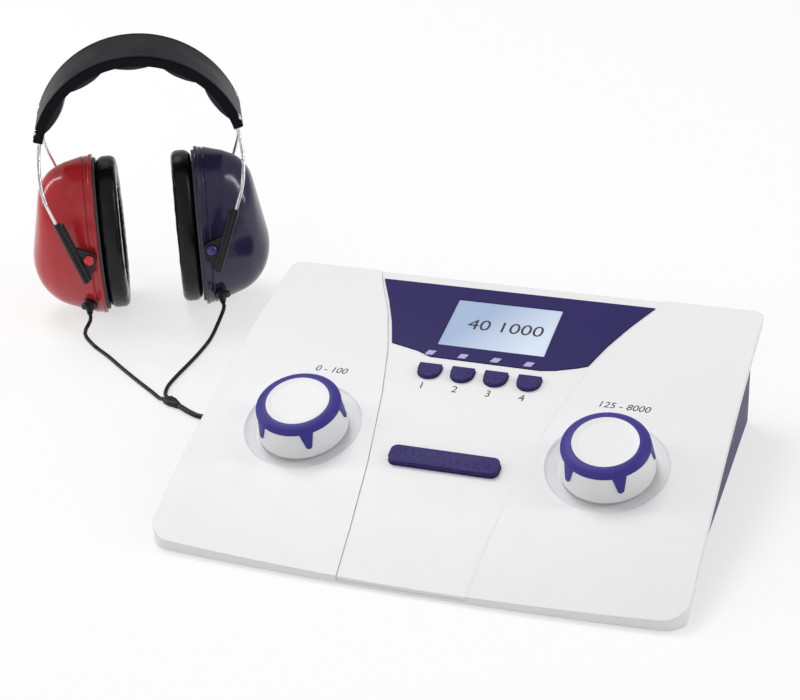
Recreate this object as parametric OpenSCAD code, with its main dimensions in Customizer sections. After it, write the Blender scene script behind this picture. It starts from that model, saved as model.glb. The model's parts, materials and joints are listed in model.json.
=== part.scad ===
// Table-top screening audiometer: a wedge-shaped console with two dished rotary
// controls, four function keys, a tone switch bar and a display, and an
// ear-cup headset that stands beside it on its cups with its cord laid out.
// Millimetres. X runs to the right along the console's front, Y to the rear, Z up.
// The origin is on the table, under the middle of the whole set.

/* [Console case] */
// Width of the console
case_w = 270; // [262:1:300]
// Depth of the top cover at its corners
case_d = 205; // [200:1:225]
// How far the front edge bows out at its middle
front_bow = 10; // [8:0.5:13]
// Sag of the front edge's arc over the whole width
front_sag = 5; // [4:0.25:8]
// Radius of the cover's front corners in plan
corner_r = 13; // [10:0.5:16]
// Radius of the cover's rear corners in plan
rear_r = 6; // [5:0.5:10]
// Height of the cover's front edge at the corners
front_h = 9; // [8:0.5:14]
// Height of the cover's rear edge
rear_h = 64; // [58:0.5:74]
// Radius of the arched top, seen from the side
arch_r = 765; // [650:5:1500]
// Height of the rim along the cover's sides and rear
rim_h = 4.4; // [4.3:0.1:7]
// Wall of the cover under its arched top
cover_wall = 4.2; // [3.6:0.1:4.8]
// Wall of the cover's rim
rim_wall = 2.6; // [2:0.1:3.5]
// Wall of the lower case
case_wall = 2.4; // [2:0.1:3.5]
// How far the lower case stands in from the cover
case_inset = 4.6; // [4:0.1:7]
// How far the lower case stands in at the front
front_inset = 8; // [6:0.5:14]
// Height of the rubber feet
foot_h = 3; // [2:0.25:5]
// Diameter of a rubber foot
foot_d = 12; // [8:0.5:16]

/* [Fascia and display] */
// Thickness of the middle fascia
fascia_t = 1.6; // [1.2:0.1:2]
// Drop of the fascia below the wings
fascia_drop = 0.6; // [0.3:0.1:1]
// Width of the open line round the fascia
seam_gap = 0.15; // [0.1:0.05:0.5]
// Width of the display window
lcd_w = 59; // [50:0.5:62]
// Depth of the display window
lcd_d = 42; // [34:0.5:42]
// Place of the window's middle behind the console's middle
lcd_y = 62; // [60:0.5:64]
// Thickness of the window
window_t = 1.4; // [1:0.1:1.6]
// Length of an indicator lens
lens_w = 4.2; // [3.4:0.1:6]
// Depth of an indicator lens
lens_d = 3.6; // [3:0.1:4.5]

/* [Keys] */
// Distance between function keys
key_pitch = 18; // [16.5:0.25:19]
// Radius of a key's rounded end
key_r = 6.1; // [5:0.1:6.4]
// Distance from a key's centre to its flat rear edge
key_flat = 4; // [3:0.25:5]
// Height of a key above the fascia
key_h = 2.2; // [1.6:0.1:3]
// Height of the tone switch bar above the fascia
bar_h = 3; // [1.8:0.1:3.6]
// Place of the keys behind the console's middle
key_y = 20; // [18:0.5:22]
// Travel of the keys and the tone bar
key_travel = 1.2; // [0.8:0.1:1.6]
// Side clearance of the keys and the bar in their holes
key_clear = 0.35; // [0.25:0.05:0.5]
// Length of the tone switch bar
bar_w = 57; // [48:0.5:60]
// Width of the tone switch bar
bar_d = 10.8; // [9:0.2:13]
// Place of the bar in front of the console's middle
bar_y = 41; // [36:0.5:42]

/* [Dial knobs] */
// Distance of each knob from the console's middle line
knob_x = 80; // [77:0.5:84]
// Distance of the knobs in front of the console's middle
knob_y = 29; // [26:0.5:34]
// Radius of the dish round a knob at the surface
dish_r = 31.2; // [29:0.1:32]
// Radius of the dish's flat floor
dish_floor_r = 25; // [24:0.25:26]
// Depth of the dish
dish_depth = 3; // [2.6:0.1:4.2]
// Radius of a knob at its foot
knob_r = 23.8; // [22:0.1:24.6]
// Radius of a knob at its shoulder
knob_top_r = 21.7; // [19.5:0.1:22.4]
// Height of a knob from its foot to its cap
knob_h = 18; // [16:0.5:22]
// Radius of the bare cap
cap_r = 16.5; // [14:0.1:17]
// Height of the grip ring round a knob's shoulder
ring_h = 3.2; // [2.6:0.1:4.5]
// Running gap between a knob's foot and the floor of its dish
knob_gap = 2; // [1:0.1:2.4]
// Ribs that run down from a knob's grip ring
rib_n = 5; // [3:1:7]
// Thickness of the grip ring
grip_t = 1.3; // [1:0.1:1.8]
// Diameter of the knob shaft
shaft_d = 6; // [5:0.1:7]
// Running clearance round a shaft
shaft_clear = 0.06; // [0.03:0.01:0.1]

/* [Sockets] */
// Bore of the phone sockets
jack_d = 6.35; // [6.3:0.05:6.5]
// Length of the phone sockets' bores
jack_l = 30; // [26:0.5:34]
// Diameter of the power socket's bore
power_d = 5.6; // [5:0.1:6.4]
// Height of the sockets above the table
socket_z = 16; // [15:0.5:22]
// Distance between sockets
socket_pitch = 26; // [22:0.5:30]

/* [Headset] */
// Height of the middle of the band's arc above the table
band_z = 105; // [103:0.5:107]
// Inner radius of the band's shell
band_r = 62; // [60:0.25:63]
// Thickness of the band's shell
band_t = 2.6; // [2:0.1:3.5]
// Width of the band from front to rear
band_w = 48; // [46:0.5:54]
// Half angle that the band's shell covers
band_half = 75; // [70:1:80]
// Thickness of the band's pad at its crowns
pad_t = 8.5; // [6:0.25:10]
// Pillows along the band's pad
pad_n = 5; // [3:1:7]
// Diameter of the spring wires
wire_d = 2.2; // [1.8:0.1:2.6]
// Distance of each wire from the band's middle, inside the band
wire_y = 21.5; // [18:0.5:21.5]
// Angle at which the wires leave the band inward
wire_turn = 19; // [17:0.5:21]
// Running clearance of a wire in its slider
slide_clear = 0.1; // [0.05:0.01:0.2]
// Length of a slider
slider_l = 42; // [38:0.5:44]
// How far the sliders can rise on the wires
slide_travel = 10; // [6:0.5:10.5]

/* [Ear cups] */
// Height of an ear cup
cup_h = 100; // [98:0.5:102]
// Width of an ear cup from front to rear
cup_w = 70; // [68:0.5:72]
// Depth of an ear cup beyond its rim
cup_d = 42.5; // [40:0.25:45]
// Wall of an ear cup
cup_wall = 2.5; // [2:0.1:3]
// Distance from the headset's middle to the cup's rim
rim_x = 31; // [30:0.25:32]
// Thickness of an ear cushion
cushion_t = 14.5; // [12:0.25:15]
// Radial width of an ear cushion's ring
cushion_w = 15; // [13:0.25:16]
// Width of a cup's rim flange
flange_w = 2.4; // [2:0.1:3]
// Radius of the pivot pins
pivot_r = 2; // [1.6:0.1:2.2]
// Running clearance of a pivot
pivot_clear = 0.1; // [0.05:0.01:0.15]
// Radius of the pivot caps
pivot_cap_r = 3.1; // [2.8:0.1:3.6]

/* [Cord] */
// Diameter of the cord to each cup
branch_d = 2.4; // [2.4:0.1:2.6]
// Diameter of the main cord
main_d = 3.2; // [3:0.1:3.2]
// Turns in the put-away coil
coil_turns = 13; // [8:1:14]
// Inner radius of the coil, to the cord's middle
coil_r = 12; // [10:0.5:13]
// Clear space between the coil's turns
coil_gap = 0.55; // [0.45:0.05:0.8]

/* [Hidden] */

// Facets of the round forms that the interpreter draws
fine = 96;
arch_fine = 720;
// Colours
white_c = [0.94, 0.94, 0.95];
indigo_c = [0.23, 0.19, 0.43];
red_c = [0.72, 0.22, 0.25];
navy_c = [0.22, 0.19, 0.38];
black_c = [0.10, 0.10, 0.12];

// Place of the console's middle, so that the whole set is centred on the origin
console_pos = [94.6, -50.8, 0];
// Place and turn of the headset beside the console
headset_pos = [-253.5, 153, 0];
headset_turn = 26;

// Depth that the outlines below are drawn for, and how the places along it follow the real one
plan_d = 205;
deep = case_d / plan_d;
key_at = key_y * deep;
bar_at = bar_y * deep;
lcd_at = lcd_y * deep;
knob_at = knob_y * deep;

// Arched top: a circle through the front and rear edges, seen from the side
chord = [case_d, rear_h - front_h];
chord_l = norm(chord);
arch_off = sqrt(arch_r * arch_r - chord_l * chord_l / 4);
arch_cy = arch_off * chord[1] / chord_l;
arch_cz = (front_h + rear_h) / 2 - arch_off * chord[0] / chord_l;
bow_r = (pow(case_w / 2, 2) + front_sag * front_sag) / (2 * front_sag);
bow_y = bow_r - case_d / 2 - front_bow;
// Middle of each front corner's round: it touches the side and the bowed front
front_corner = [case_w / 2 - corner_r,
    bow_y - sqrt(pow(bow_r - corner_r, 2) - pow(case_w / 2 - corner_r, 2))];
// Line where the rim stops reaching down to the table, seen from the side
lip_y = front_corner[1];
rim_floor = 1;

function surf_z(y) = arch_cz + sqrt(arch_r * arch_r - pow(y - arch_cy, 2));
function tilt(y) = asin((arch_cy - y) / arch_r);

// Outline of the fascia between the wings: half widths along the depth
fascia_half = [[case_d / 2 + 6, 84], [88 * deep, 76], [64 * deep, 65], [33 * deep, 54.5],
    [0, 46.5], [-28 * deep, 41.5], [-48 * deep, 38.2], [-86 * deep, 34.2],
    [-case_d / 2 - front_bow - 6, 32]];
// Outline of the display bezel inside the fascia
bezel_half = [[95, 77.5], [75, 68], [56, 60], [38.5, 54]] * [[deep, 0], [0, 1]];
bezel_low = [[-49, 37.2], [-38, 34.5], [-30, 31], [30, 30.5], [38, 32], [49, 36]]
    * [[1, 0], [0, deep]];

board_tilt = tilt(key_at);
under_fascia = fascia_drop + fascia_t;
keys_x = [-1.5, -0.5, 0.5, 1.5] * key_pitch;
lens_shift = -3.6;
lens_y = 33.6 * deep;
lens_clear = 0.05;
// Depth below the keys' surface of the flange, the switches and the board
flange_t = 1.2;
flange_out = 1.2;
seat_gap = 0.3;
switch_h = 5;
board_t = 1.6;
plunger_r = 1.6;
board_drop = cover_wall + seat_gap + flange_t + key_travel + 1 + switch_h;
bar_flange_drop = cover_wall + seat_gap;
// Case screws: how far they stand in from the cover's sides, front and rear
screw_in = [17, 22.5, 18.5];
screw_at = [for (y = [screw_in[1] - case_d / 2, case_d / 2 - screw_in[2]], x = [-1, 1])
    [x * (case_w / 2 - screw_in[0]), y]];
// Rubber feet: how far they stand in from the cover's sides, front and rear
foot_in = [32, 24.5, 20.5];
screw_r = 1.5;
screw_head_r = 2.9;
screw_l = 12;
socket_r = 7;
bezel_r = 6.4;

/* Shared shapes */

// Rectangle with round corners, centred
module rounded_rect(w, d, r) {
    square([w - 2 * r, d], center = true);
    square([w, d - 2 * r], center = true);
    for (sx = [-1, 1], sy = [-1, 1])
        translate([sx * (w / 2 - r), sy * (d / 2 - r)]) circle(r = r, $fn = 48);
}

// Upright block of the cover's plan, drawn in by i, from z0 to z1
module plan_block(i, z0, z1) {
    intersection() {
        translate([0, -front_bow / 2, z0]) linear_extrude(z1 - z0)
            rounded_rect(case_w - 2 * i, case_d + front_bow - 2 * i, max(rear_r - i, 2));
        translate([0, bow_y, z0]) cylinder(r = bow_r - i, h = z1 - z0, $fn = arch_fine);
        // Front corners
        translate([0, 0, z0]) linear_extrude(z1 - z0) difference() {
            square([2 * case_w, 2 * case_d], center = true);
            for (sx = [-1, 1]) mirror([sx < 0 ? 1 : 0, 0]) translate(front_corner) difference() {
                polygon([[0, 0], [3 * corner_r, 0], [3 * corner_r, -3 * corner_r],
                    [3 * corner_r * front_corner[0] / (bow_y - front_corner[1]), -3 * corner_r]]);
                circle(r = corner_r - i, $fn = fine);
            }
        }
    }
}

// Everything under the arched top, shifted up by dz
module under_arch(dz) {
    translate([0, arch_cy, arch_cz + dz]) rotate([0, 90, 0])
        cylinder(r = arch_r, h = 2 * case_w, center = true, $fn = arch_fine);
}

// Places a child on the arched top at x, y, square to it
module on_cover(x, y) {
    translate([x, y, surf_z(y)]) rotate([tilt(y), 0, 0]) children();
}

// Places a child on the arched top in the direction that the keys move
module on_keys(x, y) {
    translate([x, y, surf_z(y)]) rotate([board_tilt, 0, 0]) children();
}

// Plan outline of the fascia, grown by e
module fascia_plan(e) {
    n = len(fascia_half);
    polygon(concat(
        [for (p = fascia_half) [p[1] + e, p[0]]],
        [for (k = [n - 1:-1:0]) [-fascia_half[k][1] - e, fascia_half[k][0]]]));
}

// Plan outline of the display bezel, grown by e
module bezel_plan(e) {
    n = len(bezel_half);
    m = len(bezel_low);
    polygon(concat(
        [for (k = [0:n - 1]) [bezel_half[k][1] + e, bezel_half[k][0] + (k == 0 ? e : 0)]],
        [for (k = [m - 1:-1:0]) [bezel_low[k][0], bezel_low[k][1] - e]],
        [for (k = [n - 1:-1:0]) [-bezel_half[k][1] - e, bezel_half[k][0] + (k == 0 ? e : 0)]]));
}

// Layer of the arched top between two depths, cut to a plan outline
module arch_layer(top, bottom) {
    difference() {
        intersection() {
            linear_extrude(2 * rear_h) children();
            under_arch(-top);
        }
        under_arch(-bottom);
    }
}

// Outline of a function key: round towards the user, square at the rear
module key_plan(e) {
    intersection() {
        circle(r = key_r + e, $fn = fine);
        translate([-20, e - 40]) square([40, 40]);
    }
    translate([-key_r - e, 0]) square([2 * (key_r + e), key_flat + e]);
}

module bar_plan(e) rounded_rect(bar_w + 2 * e, bar_d + 2 * e, 3.6 + e);

module lens_plan(e) {
    a = lens_w / 2 + e;
    b = lens_d / 2 + e;
    polygon([[-a - 0.7, -b], [a - 0.7, -b], [a + 0.7, b], [-a + 0.7, b]]);
}

// Cut through the cover for the keys and the bar
module key_cuts(e) {
    for (x = keys_x) on_keys(x, key_at) translate([0, 0, -15]) linear_extrude(30) key_plan(e);
    on_keys(0, -bar_at) translate([0, 0, -15]) linear_extrude(30) bar_plan(e);
}

module lens_cuts(e) {
    for (x = keys_x) on_cover(x + lens_shift, lens_y)
        translate([0, 0, -12]) linear_extrude(24) lens_plan(e);
}

module window_cut(e, drop) {
    on_cover(0, lcd_at) translate([-lcd_w / 2 - e, -lcd_d / 2 - e, -drop])
        cube([lcd_w + 2 * e, lcd_d + 2 * e, 30]);
}

/* Console case */

module lower_case() color(indigo_c) difference() {
    intersection() {
        case_block(0, foot_h, rear_h);
        under_arch(-cover_wall);
    }
    case_block(case_wall, foot_h + case_wall, rear_h + 1);
    for (p = screw_at) translate([p[0], p[1], foot_h - 1]) {
        cylinder(r = screw_r + 0.15, h = case_wall + 2, $fn = 48);
        cylinder(r = screw_head_r + 0.15, h = 2.2, $fn = 48);
    }
    for (k = [-1, 0]) translate([k * socket_pitch - 34, case_d / 2, socket_z])
        rotate([90, 0, 0]) cylinder(r = bezel_r, h = 40, $fn = fine);
    translate([socket_pitch, case_d / 2, socket_z]) rotate([90, 0, 0])
        cylinder(r = bezel_r, h = 40, $fn = fine);
}

// Block of the lower case, drawn in by i, from z0 to z1
module case_block(i, z0, z1) {
    w = case_w - 2 * case_inset - 2 * i;
    y0 = -case_d / 2 + front_inset + i;
    y1 = case_d / 2 - rim_wall - 0.4 - i;
    translate([0, (y0 + y1) / 2, z0]) linear_extrude(z1 - z0)
        rounded_rect(w, y1 - y0, max(corner_r - case_inset - i, 1.5));
}

module top_cover() color(white_c) difference() {
    union() {
        difference() {
            intersection() {
                plan_block(0, rim_floor, 2 * rear_h);
                under_arch(0);
            }
            difference() {
                under_arch(-rim_h);
                rotate([90, 0, 90]) linear_extrude(2 * case_w, center = true)
                    polygon([[-case_d, 0], [lip_y - 6, 0], [lip_y + 4, rear_h / 4],
                        [-case_d, rear_h / 4]]);
            }
            intersection() {
                plan_block(rim_wall, -1, 2 * rear_h);
                under_arch(-cover_wall);
            }
        }
        // Bowls under the dishes
        for (sx = [-1, 1]) intersection() {
            on_cover(sx * knob_x, -knob_at) translate([0, 0, -dish_depth - 2.4])
                cylinder(r = dish_r + 2, h = dish_depth + 6, $fn = fine);
            under_arch(0);
        }
        // Posts that the board is held to
        for (x = [-1, 1], y = board_post_y) intersection() {
            on_keys(x * (board_x - 3.5), key_at) translate([0, y, -board_drop])
                cylinder(r = 2.6, h = board_drop, $fn = 32);
            under_arch(-cover_wall / 2);
        }
        // Screw posts
        for (p = screw_at) intersection() {
            translate([p[0], p[1], foot_h + case_wall]) cylinder(r = 4, h = rear_h, $fn = 48);
            under_arch(-cover_wall / 2);
        }
    }
    // Dishes and the holes for the shafts' bushes
    for (sx = [-1, 1]) on_cover(sx * knob_x, -knob_at) {
        rotate_extrude($fn = fine) polygon([[0, -dish_depth], [dish_floor_r, -dish_depth],
            [dish_floor_r + 2.4, -dish_depth + 0.7], [dish_r - 1.4, -1.3],
            [dish_r, 0.2], [dish_r, 8], [0, 8]]);
        translate([0, 0, -20]) cylinder(d = shaft_d + 4, h = 30, $fn = 48);
    }
    // Seat of the fascia
    difference() {
        linear_extrude(2 * rear_h) fascia_plan(0);
        under_arch(-under_fascia);
    }
    key_cuts(key_clear);
    lens_cuts(lens_clear);
    window_cut(-1.5, 12);
    // Pilot holes of the screw posts
    for (p = screw_at) translate([p[0], p[1], 0])
        cylinder(r = screw_r + 0.05, h = foot_h + screw_l + 0.5, $fn = 48);
}

module center_fascia() color(white_c) difference() {
    intersection() {
        arch_layer(fascia_drop, under_fascia) fascia_plan(-seam_gap);
        plan_block(0.3, rim_floor, 2 * rear_h);
    }
    linear_extrude(2 * rear_h) bezel_plan(0);
    key_cuts(key_clear);
    lens_cuts(lens_clear);
}

module display_bezel() color(indigo_c) difference() {
    arch_layer(0.1, under_fascia) bezel_plan(-seam_gap);
    window_cut(0, 8);
    lens_cuts(lens_clear);
}

module display_window() color([0.78, 0.85, 0.93]) on_cover(0, lcd_at)
    translate([0, 0, -under_fascia]) linear_extrude(window_t)
        rounded_rect(lcd_w - 0.3, lcd_d - 0.3, 1);

module display_module() color([0.45, 0.5, 0.48]) on_cover(0, lcd_at) {
    translate([0, 0, -under_fascia - 5]) linear_extrude(5)
        square([lcd_w - 3.6, lcd_d - 3.6], center = true);
    translate([0, 0, -under_fascia - 6.6]) linear_extrude(1.6)
        square([lcd_w - 3.6, lcd_d - 3.6], center = true);
}

module indicator_lenses() color([0.72, 0.68, 0.86])
    for (x = keys_x) on_cover(x + lens_shift, lens_y)
        translate([0, 0, -cover_wall]) linear_extrude(cover_wall + 0.35) lens_plan(0);

/* Keys */

// Function key: cap, flange under the cover and plunger into its switch
module key(x) {
    color(indigo_c) {
        intersection() {
            on_keys(x, key_at) translate([0, 0, -cover_wall - seat_gap - flange_t])
                linear_extrude(30) key_plan(0);
            under_arch(key_h - fascia_drop);
        }
        on_keys(x, key_at) {
            translate([0, 0, -cover_wall - seat_gap - flange_t]) linear_extrude(flange_t)
                key_plan(flange_out);
            translate([0, 0, -board_drop + 1.6]) cylinder(r = plunger_r, h = 7, $fn = 32);
        }
    }
}

module key_1() key(keys_x[0]);
module key_2() key(keys_x[1]);
module key_3() key(keys_x[2]);
module key_4() key(keys_x[3]);

module tone_bar() color(indigo_c) {
    intersection() {
        on_keys(0, -bar_at) translate([0, 0, -bar_flange_drop - flange_t]) linear_extrude(30)
            bar_plan(0);
        under_arch(bar_h - fascia_drop);
    }
    on_keys(0, -bar_at) {
        translate([0, 0, -bar_flange_drop - flange_t - bar_skew]) linear_extrude(flange_t)
            bar_plan(flange_out);
        translate([0, 0, -board_drop - bar_rise + 1.6])
            cylinder(r = plunger_r, h = 7, $fn = 32);
    }
}
// Extra depth of the bar's flange, because the cover is steeper there than the keys' line
bar_skew = (bar_d / 2 + flange_out) * tan(tilt(-bar_at) - board_tilt);

/* Dial knobs */

// Half profile of a knob's skirt, cap and shoulder, with the grip ring's seat cut back by g
function knob_profile(g) = [[knob_r, 0], [knob_top_r, knob_h - ring_h],
    [knob_top_r - g, knob_h - ring_h], [knob_top_r - g, knob_h - ring_h + 0.8],
    [knob_top_r - 1.4 - g * 0.8, knob_h - 1 - g * 0.5], [cap_r, knob_h - g], [cap_r, knob_h]];

module knob_place(sx) on_cover(sx * knob_x, -knob_at)
    translate([0, 0, -dish_depth + knob_gap]) children();

module knob(sx) color(white_c) knob_place(sx) difference() {
    rotate_extrude($fn = fine) polygon(concat([[0, 0]], knob_profile(grip_t),
        [[cap_r - 3, knob_h - 0.5], [0, knob_h - 0.8]]));
    // Hollow under the skirt, and the hub's bore
    difference() {
        translate([0, 0, -1]) cylinder(r = knob_top_r - 4, h = knob_h - 4, $fn = fine);
        translate([0, 0, -2]) cylinder(r = shaft_d / 2 + 2.5, h = knob_h, $fn = 48);
    }
    translate([0, 0, -1]) cylinder(r = shaft_d / 2 + 3.4, h = 7, $fn = 48);
    translate([0, 0, -3]) cylinder(d = shaft_d, h = knob_h - 1, $fn = 48);
    rib_forms(0);
}

// Ribs of the grip that run down the skirt
rib_end = 7.4;
rib_r = [1.7, 3.7];
module rib_forms(e) intersection() {
    difference() {
        translate([0, 0, 4]) cylinder(r1 = knob_r + 0.2, r2 = knob_top_r + 0.5,
            h = knob_h - ring_h - 4, $fn = fine);
        translate([0, 0, 3]) cylinder(r1 = knob_r - 1.2, r2 = knob_top_r - 0.7,
            h = knob_h - ring_h - 2, $fn = fine);
    }
    for (k = [0:rib_n - 1]) rotate([0, 0, -60 + k * 360 / rib_n]) rotate([90, 0, 90]) {
        translate([0, rib_end, 4]) cylinder(r = rib_r[0] + e, h = 30, $fn = 32);
        translate([0, 0, 4]) linear_extrude(30) polygon([[-rib_r[0] - e, rib_end],
            [-rib_r[1] - e, knob_h - ring_h + 0.5], [rib_r[1] + e, knob_h - ring_h + 0.5],
            [rib_r[0] + e, rib_end]]);
    }
}

module grip(sx) color([0.3, 0.27, 0.6]) knob_place(sx) {
    rotate_extrude($fn = fine) polygon([[knob_top_r - grip_t, knob_h - ring_h],
        [knob_top_r + 0.5, knob_h - ring_h], [knob_top_r + 0.35, knob_h - ring_h + 0.9],
        [knob_top_r - 0.4, knob_h - 1.6], [knob_top_r - 1.9, knob_h - 0.7],
        [cap_r + 1.5, knob_h - 0.2], [cap_r, knob_h - 0.1], [cap_r, knob_h - grip_t],
        [knob_top_r - 1.4 - grip_t * 0.8, knob_h - 1 - grip_t * 0.5],
        [knob_top_r - grip_t, knob_h - ring_h + 0.8]]);
    rib_forms(0);
}

// Shaft fixed in the knob's hub, running in the encoder's bush
module shaft(sx) color([0.7, 0.7, 0.72]) knob_place(sx)
    translate([0, 0, -knob_gap - 9]) cylinder(d = shaft_d, h = knob_h + 4, $fn = 48);

module level_knob() knob(-1);
module level_grip() grip(-1);
module level_shaft() shaft(-1);
module tone_knob() knob(1);
module tone_grip() grip(1);
module tone_shaft() shaft(1);

// Rotary encoders: a square body under the dish and a bush up through it
module encoders() color([0.5, 0.5, 0.52])
    for (sx = [-1, 1]) on_cover(sx * knob_x, -knob_at) difference() {
        union() {
            translate([-7.5, -7.5, -dish_depth - 2.4 - 7.5]) cube([15, 15, 7.5]);
            translate([0, 0, -dish_depth - 3]) cylinder(d = shaft_d + 3.8, h = 7, $fn = 48);
        }
        translate([0, 0, -dish_depth - 9.2])
            cylinder(d = shaft_d + 2 * shaft_clear, h = 20, $fn = 48);
    }

/* Inside the case */

board_x = 42;
board_y = [-key_at - bar_at - 7.5, 13];
board_post_y = [board_y[0] + 4, board_y[1] - 4];
module main_board() color([0.12, 0.4, 0.24]) on_keys(0, key_at)
    translate([-board_x, board_y[0], -board_drop - board_t])
        cube([2 * board_x, board_y[1] - board_y[0], board_t]);

module key_switches() color([0.2, 0.2, 0.22]) {
    for (x = keys_x) on_keys(x, key_at) switch_box(0);
    on_keys(0, -bar_at) switch_box(bar_rise);
}
bar_rise = on_key_height(-bar_at);
// Height of the arched top over the keys' own plane at y, along the keys' direction
function on_key_height(y) = (surf_z(y) - surf_z(key_at)) * cos(board_tilt)
    - (y - key_at) * sin(board_tilt);
module switch_box(rise) translate([0, 0, -board_drop - rise]) difference() {
    translate([-3.5, -3.5, 0]) cube([7, 7, switch_h + rise]);
    translate([0, 0, 0.2]) cylinder(r = plunger_r + 0.2, h = 20, $fn = 32);
}

module rubber_feet() color(black_c) for (sx = [-1, 1],
        y = [foot_in[1] - case_d / 2, case_d / 2 - foot_in[2]])
    translate([sx * (case_w / 2 - foot_in[0]), y, 0]) rotate_extrude($fn = fine)
        polygon([[0, 0], [foot_d / 2 - 0.8, 0], [foot_d / 2, 0.8], [foot_d / 2, foot_h],
            [0, foot_h]]);

module case_screws() color([0.75, 0.75, 0.77]) for (p = screw_at) translate([p[0], p[1], 0])
    difference() {
        union() {
            translate([0, 0, foot_h + 0.2]) cylinder(r = screw_head_r, h = 1, $fn = 48);
            translate([0, 0, foot_h + 0.2]) cylinder(r = screw_r, h = screw_l, $fn = 48);
        }
        translate([0, 0, foot_h]) cylinder(r = 1.2, h = 1, $fn = 6);
    }

// Sockets at the rear: a barrel inside the wall and a round collar outside
module socket_barrel(bore, l) difference() {
    union() {
        translate([0, -l + 1.5, 0]) rotate([-90, 0, 0]) cylinder(r = bezel_r, h = l, $fn = fine);
        rotate([-90, 0, 0]) cylinder(r = socket_r, h = 1.5, $fn = fine);
    }
    translate([0, -l + 3, 0]) rotate([-90, 0, 0]) cylinder(d = bore, h = l + 2, $fn = fine);
}
rear_y = case_d / 2 - rim_wall - 0.4;
module phone_sockets() color(black_c) for (k = [-1, 0])
    translate([k * socket_pitch - 34, rear_y, socket_z]) socket_barrel(jack_d, jack_l + 3);
module power_socket() color(black_c) translate([socket_pitch, rear_y, socket_z]) {
    socket_barrel(power_d, 14);
    translate([0, -11, 0]) rotate([-90, 0, 0]) cylinder(r = 1, h = 9, $fn = 32);
}

/* Headset: X across, from the left cup to the right one, Z up, Y to the rear */

wire_r = band_r - wire_d / 2 - 0.3;
// Where the wires run straight down into the sliders
straight_x = wire_r * cos(wire_turn);
straight_z = band_z - wire_r * sin(wire_turn);
slider_y = cup_w / 2 + 3.6;
slider_top = 11;
slider_r = 2;
barrel_r = 1.7;
barrel_in = 2.4;
lug_t = 2.4;
lug_r = 4.8;
// Inner and outer face of the lug, from the wire's middle
lug_y0 = -slider_r;
lug_y1 = lug_y0 + lug_t;
// Pivot, measured down the slider and in from the wire
pivot_down = slider_top + 29;
pivot_in = 7.6;
pivot_x = straight_x - pivot_down * sin(wire_turn) - pivot_in * cos(wire_turn);
pivot_z = straight_z - pivot_down * cos(wire_turn) + pivot_in * sin(wire_turn);
wire_l = slider_top + slider_l - 3;

module headset_place() translate(headset_pos) rotate([0, 0, headset_turn]) children();

module band_shell() color(black_c) headset_place() translate([0, 0, band_z])
    rotate([90, 0, 0]) {
        rotate([0, 0, 90 - band_half]) rotate_extrude(angle = 2 * band_half, $fn = 2 * fine)
            translate([band_r, -band_w / 2]) band_section();
    }
// Section of the band's shell: a strip with a lip along each edge that covers a wire
band_lip = 1.2;
module band_section() {
    translate([0, 0.8]) square([band_t, band_w - 1.6]);
    translate([-wire_d - 1, 0]) square([wire_d + 1 + band_t - 0.8, band_lip]);
    translate([-wire_d - 1, band_w - band_lip]) square([wire_d + 1 + band_t - 0.8, band_lip]);
}

// Padded lining: a row of pillows with drawn-in ends, swept along the band
pad_half = band_half - 3;
pad_rings = 7;
function pad_fill(u) = 0.3 + 0.7 * sqrt(max(sin(180 * u), 0));
function pad_section(u) = let (t = pad_t * pad_fill(u),
    w = wire_y - wire_d / 2 - 0.4 - 1.6 * (1 - pad_fill(u)))
    [[0.15, -w], [0.15 + t * 0.55, -w], [0.15 + t * 0.9, -w * 0.8], [0.15 + t, -w * 0.4],
     [0.15 + t, w * 0.4], [0.15 + t * 0.9, w * 0.8], [0.15 + t * 0.55, w], [0.15, w]];
pad_steps = pad_n * pad_rings;
pad_pts = [for (k = [0:pad_steps]) let (a = -pad_half + 2 * pad_half * k / pad_steps,
    s = pad_section((k % pad_rings) / pad_rings)) for (p = s)
    [(band_r - p[0]) * sin(a), p[1], (band_r - p[0]) * cos(a)]];
module band_pad() color([0.16, 0.15, 0.2]) headset_place() translate([0, 0, band_z])
    tube_mesh(pad_pts, 8, pad_steps + 1);

// Closed mesh from rings of n points, m rings
module tube_mesh(pts, n, m) {
    polyhedron(points = pts, faces = concat(
        [for (r = [0:m - 2], c = [0:n - 1]) let (d = (c + 1) % n)
            [r * n + c, r * n + d, (r + 1) * n + d]],
        [for (r = [0:m - 2], c = [0:n - 1]) let (d = (c + 1) % n)
            [r * n + c, (r + 1) * n + d, (r + 1) * n + c]],
        [for (c = [1:n - 2]) [0, c + 1, c]],
        [for (c = [1:n - 2]) [(m - 1) * n, (m - 1) * n + c, (m - 1) * n + c + 1]]),
        convexity = 6);
}

// Tube along a list of points: each ring stands square to the line there
function unit(v) = v / norm(v);
function tangent(p, k) = unit(p[min(k + 1, len(p) - 1)] - p[max(k - 1, 0)]);
function ring_at(c, t, r, n, up) = let (s = unit(cross(t, up)), v = cross(s, t))
    [for (j = [0:n - 1]) c + r * (cos(360 * j / n) * s + sin(360 * j / n) * v)];
function tube_pts(p, r, n, up) = [for (k = [0:len(p) - 1]) each
    ring_at(p[k], tangent(p, k), r, n, up)];
module tube(p, r, n, up = [0, 0, 1]) tube_mesh(tube_pts(p, r, n, up), n, len(p));

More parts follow.
